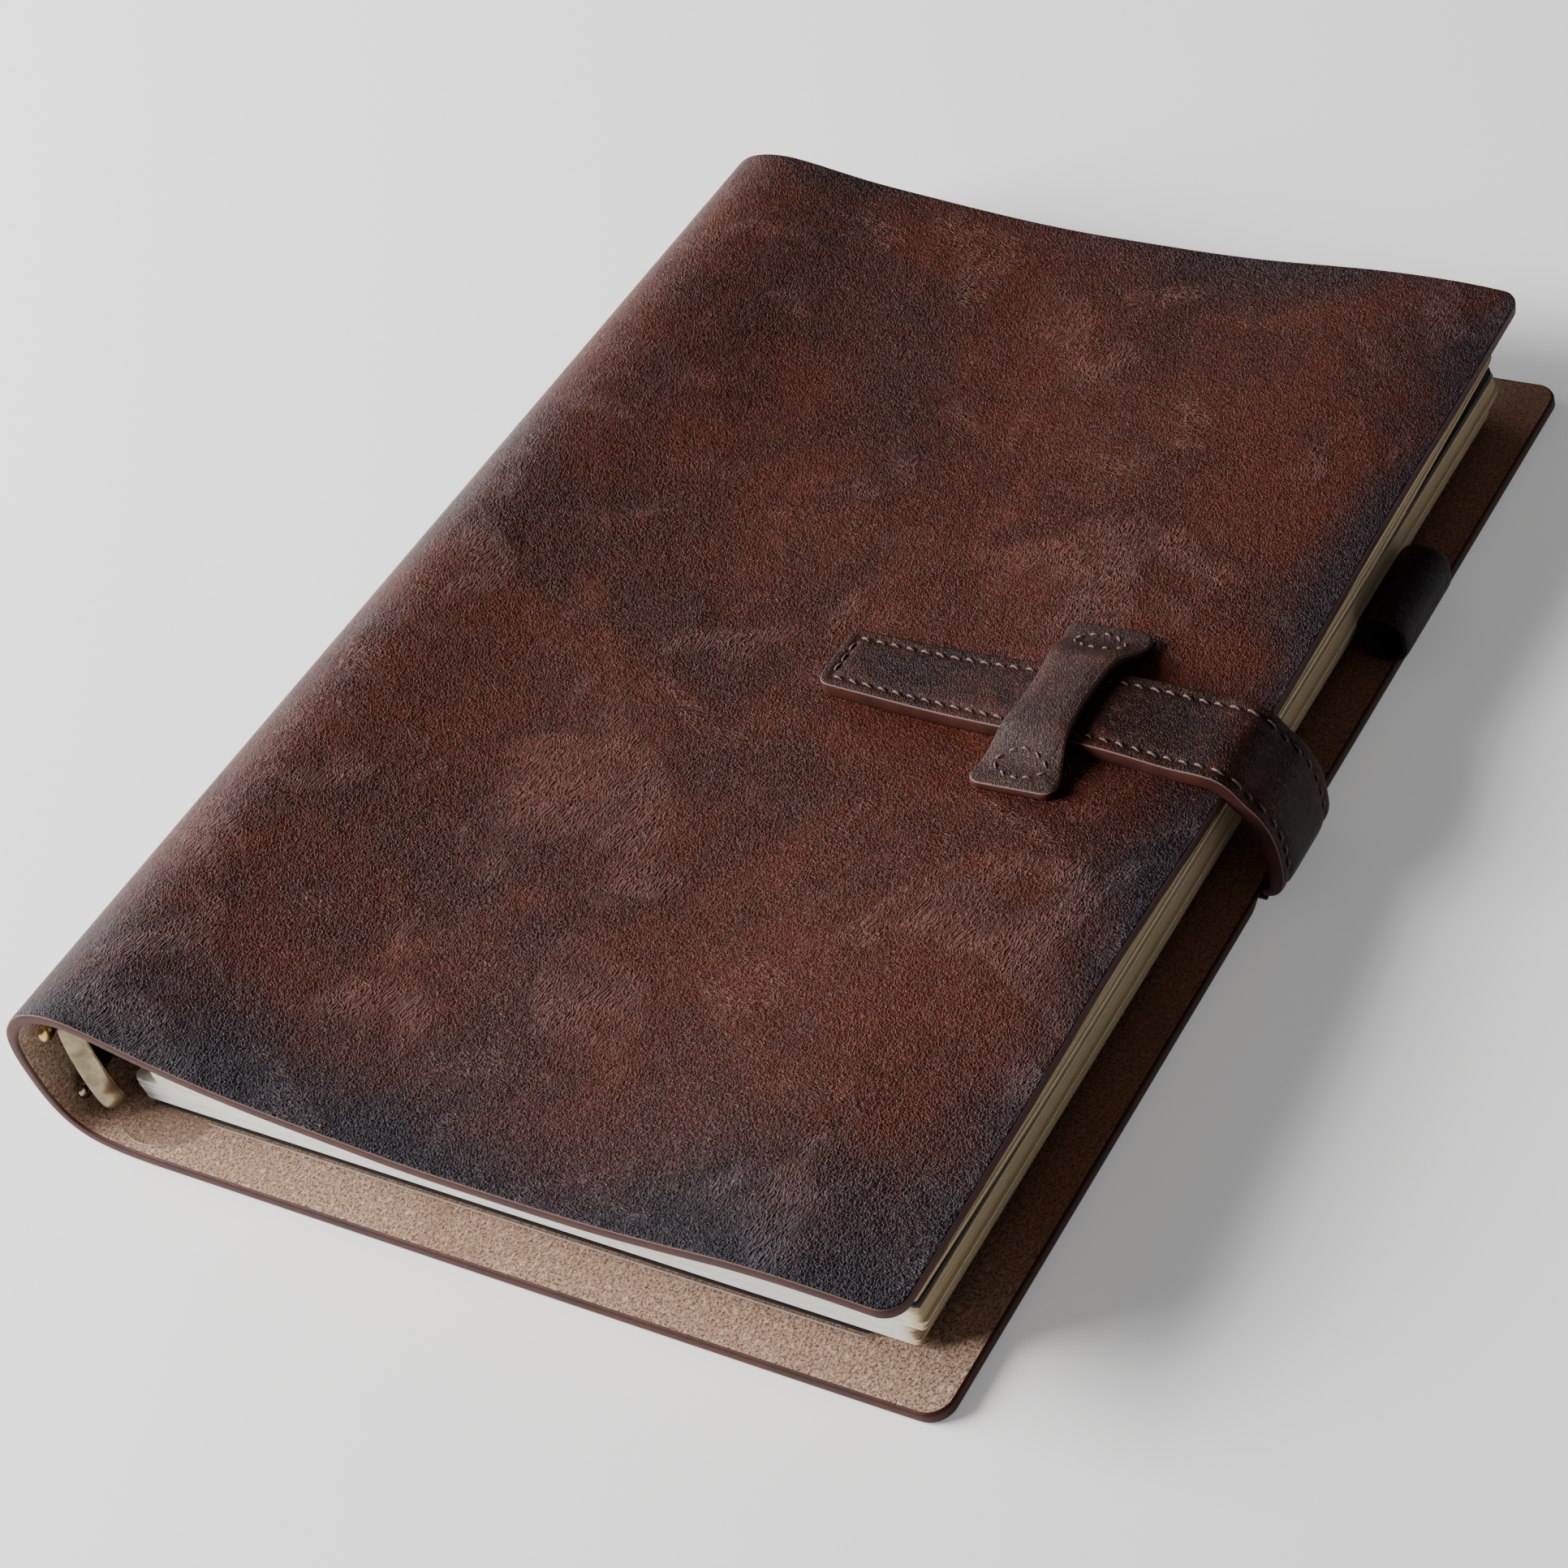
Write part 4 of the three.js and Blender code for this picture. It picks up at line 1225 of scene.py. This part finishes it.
def make_mechanism():
    metal = nickel()
    brass = plain("lug_brass", (0.55, 0.36, 0.14), 0.25, metallic=1.0)
    make_lug("base_lug_upper", (3.3, 4.6, 21.4), brass)
    make_lug("base_lug_lower", (4.6, 5.2, 7.6), metal)
    make_rings(metal)
    make_levers(metal)
    for node in ("mechanism_plate", "blade_lower", "blade_upper"):
        soften(node, metal, 0.12)
    for node in ("rivet_tail", "rivet_head", "lever_pin_tail", "lever_pin_head"):
        soften(node, metal, 0.08)
    soften("spine_backing_strip", plain("backing_strip", (0.03, 0.018, 0.014), 0.8), 0.2)


def fix_normals():
    """Every mesh made here faces outwards."""
    for item in bpy.data.objects:
        if item.type != "MESH" or "flat" not in item.data.attributes:
            continue
        work = bmesh.new()
        work.from_mesh(item.data)
        bmesh.ops.recalc_face_normals(work, faces=work.faces)
        work.to_mesh(item.data)
        work.free()


# ---- light, floor and camera ----
def area_light(name, place, target, size, power, colour):
    data = bpy.data.lights.new(name, "AREA")
    data.shape = "RECTANGLE"
    data.size, data.size_y = size
    data.energy = power
    data.color = colour
    lamp = bpy.data.objects.new(name, data)
    lamp.location = place
    aim = Vector(target) - Vector(place)
    lamp.rotation_euler = aim.to_track_quat("-Z", "Y").to_euler()
    bpy.context.scene.collection.objects.link(lamp)
    return lamp


def make_studio():
    mesh = bpy.data.meshes.new("floor")
    half, drop = 6.0, -0.0002
    corners = [(-half, -half, drop), (half, -half, drop), (half, half, drop), (-half, half, drop)]
    mesh.from_pydata(corners, [], [(0, 1, 2, 3)])
    floor = bpy.data.objects.new("floor", mesh)
    bpy.context.scene.collection.objects.link(floor)
    n = Nodes("floor_card")
    n.set(Base_Color=(0.93, 0.93, 0.93), Roughness=0.9)
    n.set(Specular_IOR_Level=0.1, Emission_Color=(1, 1, 1, 1), Emission_Strength=0.22)
    mesh.materials.append(n.material)

    world = bpy.data.worlds.new("studio")
    bpy.context.scene.world = world
    world.use_nodes = True
    background = world.node_tree.nodes["Background"]
    background.inputs[0].default_value = (0.95, 0.97, 1.0, 1)
    background.inputs[1].default_value = 0.10
    lamps = [
        area_light("key", (-0.95, -0.50, 0.62), (0, 0, 0.02), (0.8, 0.6), 46, (1.0, 0.985, 0.96)),
        area_light("window", (-1.45, 0.50, 0.30), (0, 0, 0.02), (1.1, 0.5), 15, (0.93, 0.95, 1.0)),
    ]


def make_camera():
    data = bpy.data.cameras.new("camera")
    data.sensor_width = 36.0
    data.lens = 87.27
    data.dof.use_dof = False
    camera = bpy.data.objects.new("camera", data)
    camera.location = (0.29826, -0.35101, 0.42273)
    camera.rotation_euler = tuple(math.radians(a) for a in (46.042, 12.870, 29.872))
    bpy.context.scene.collection.objects.link(camera)
    bpy.context.scene.camera = camera


make_studio()
make_camera()
make_cover()
thread = make_strap()
make_keeper(thread)
make_strap_root()
make_pen_loop()
make_pages()
film = [clear_film(), film_edge()]
flat_sheet("clear_sheet_film", "clear_sheet", film_outline(), film, "rear_cover")
black = [plain("black_plastic", (0.006, 0.006, 0.008), 0.45, size=20, vary=0.3)]
flat_sheet("black_divider_sheet", "black_divider", divider_outline(), black, "rear_cover")
make_mechanism()
fix_normals()
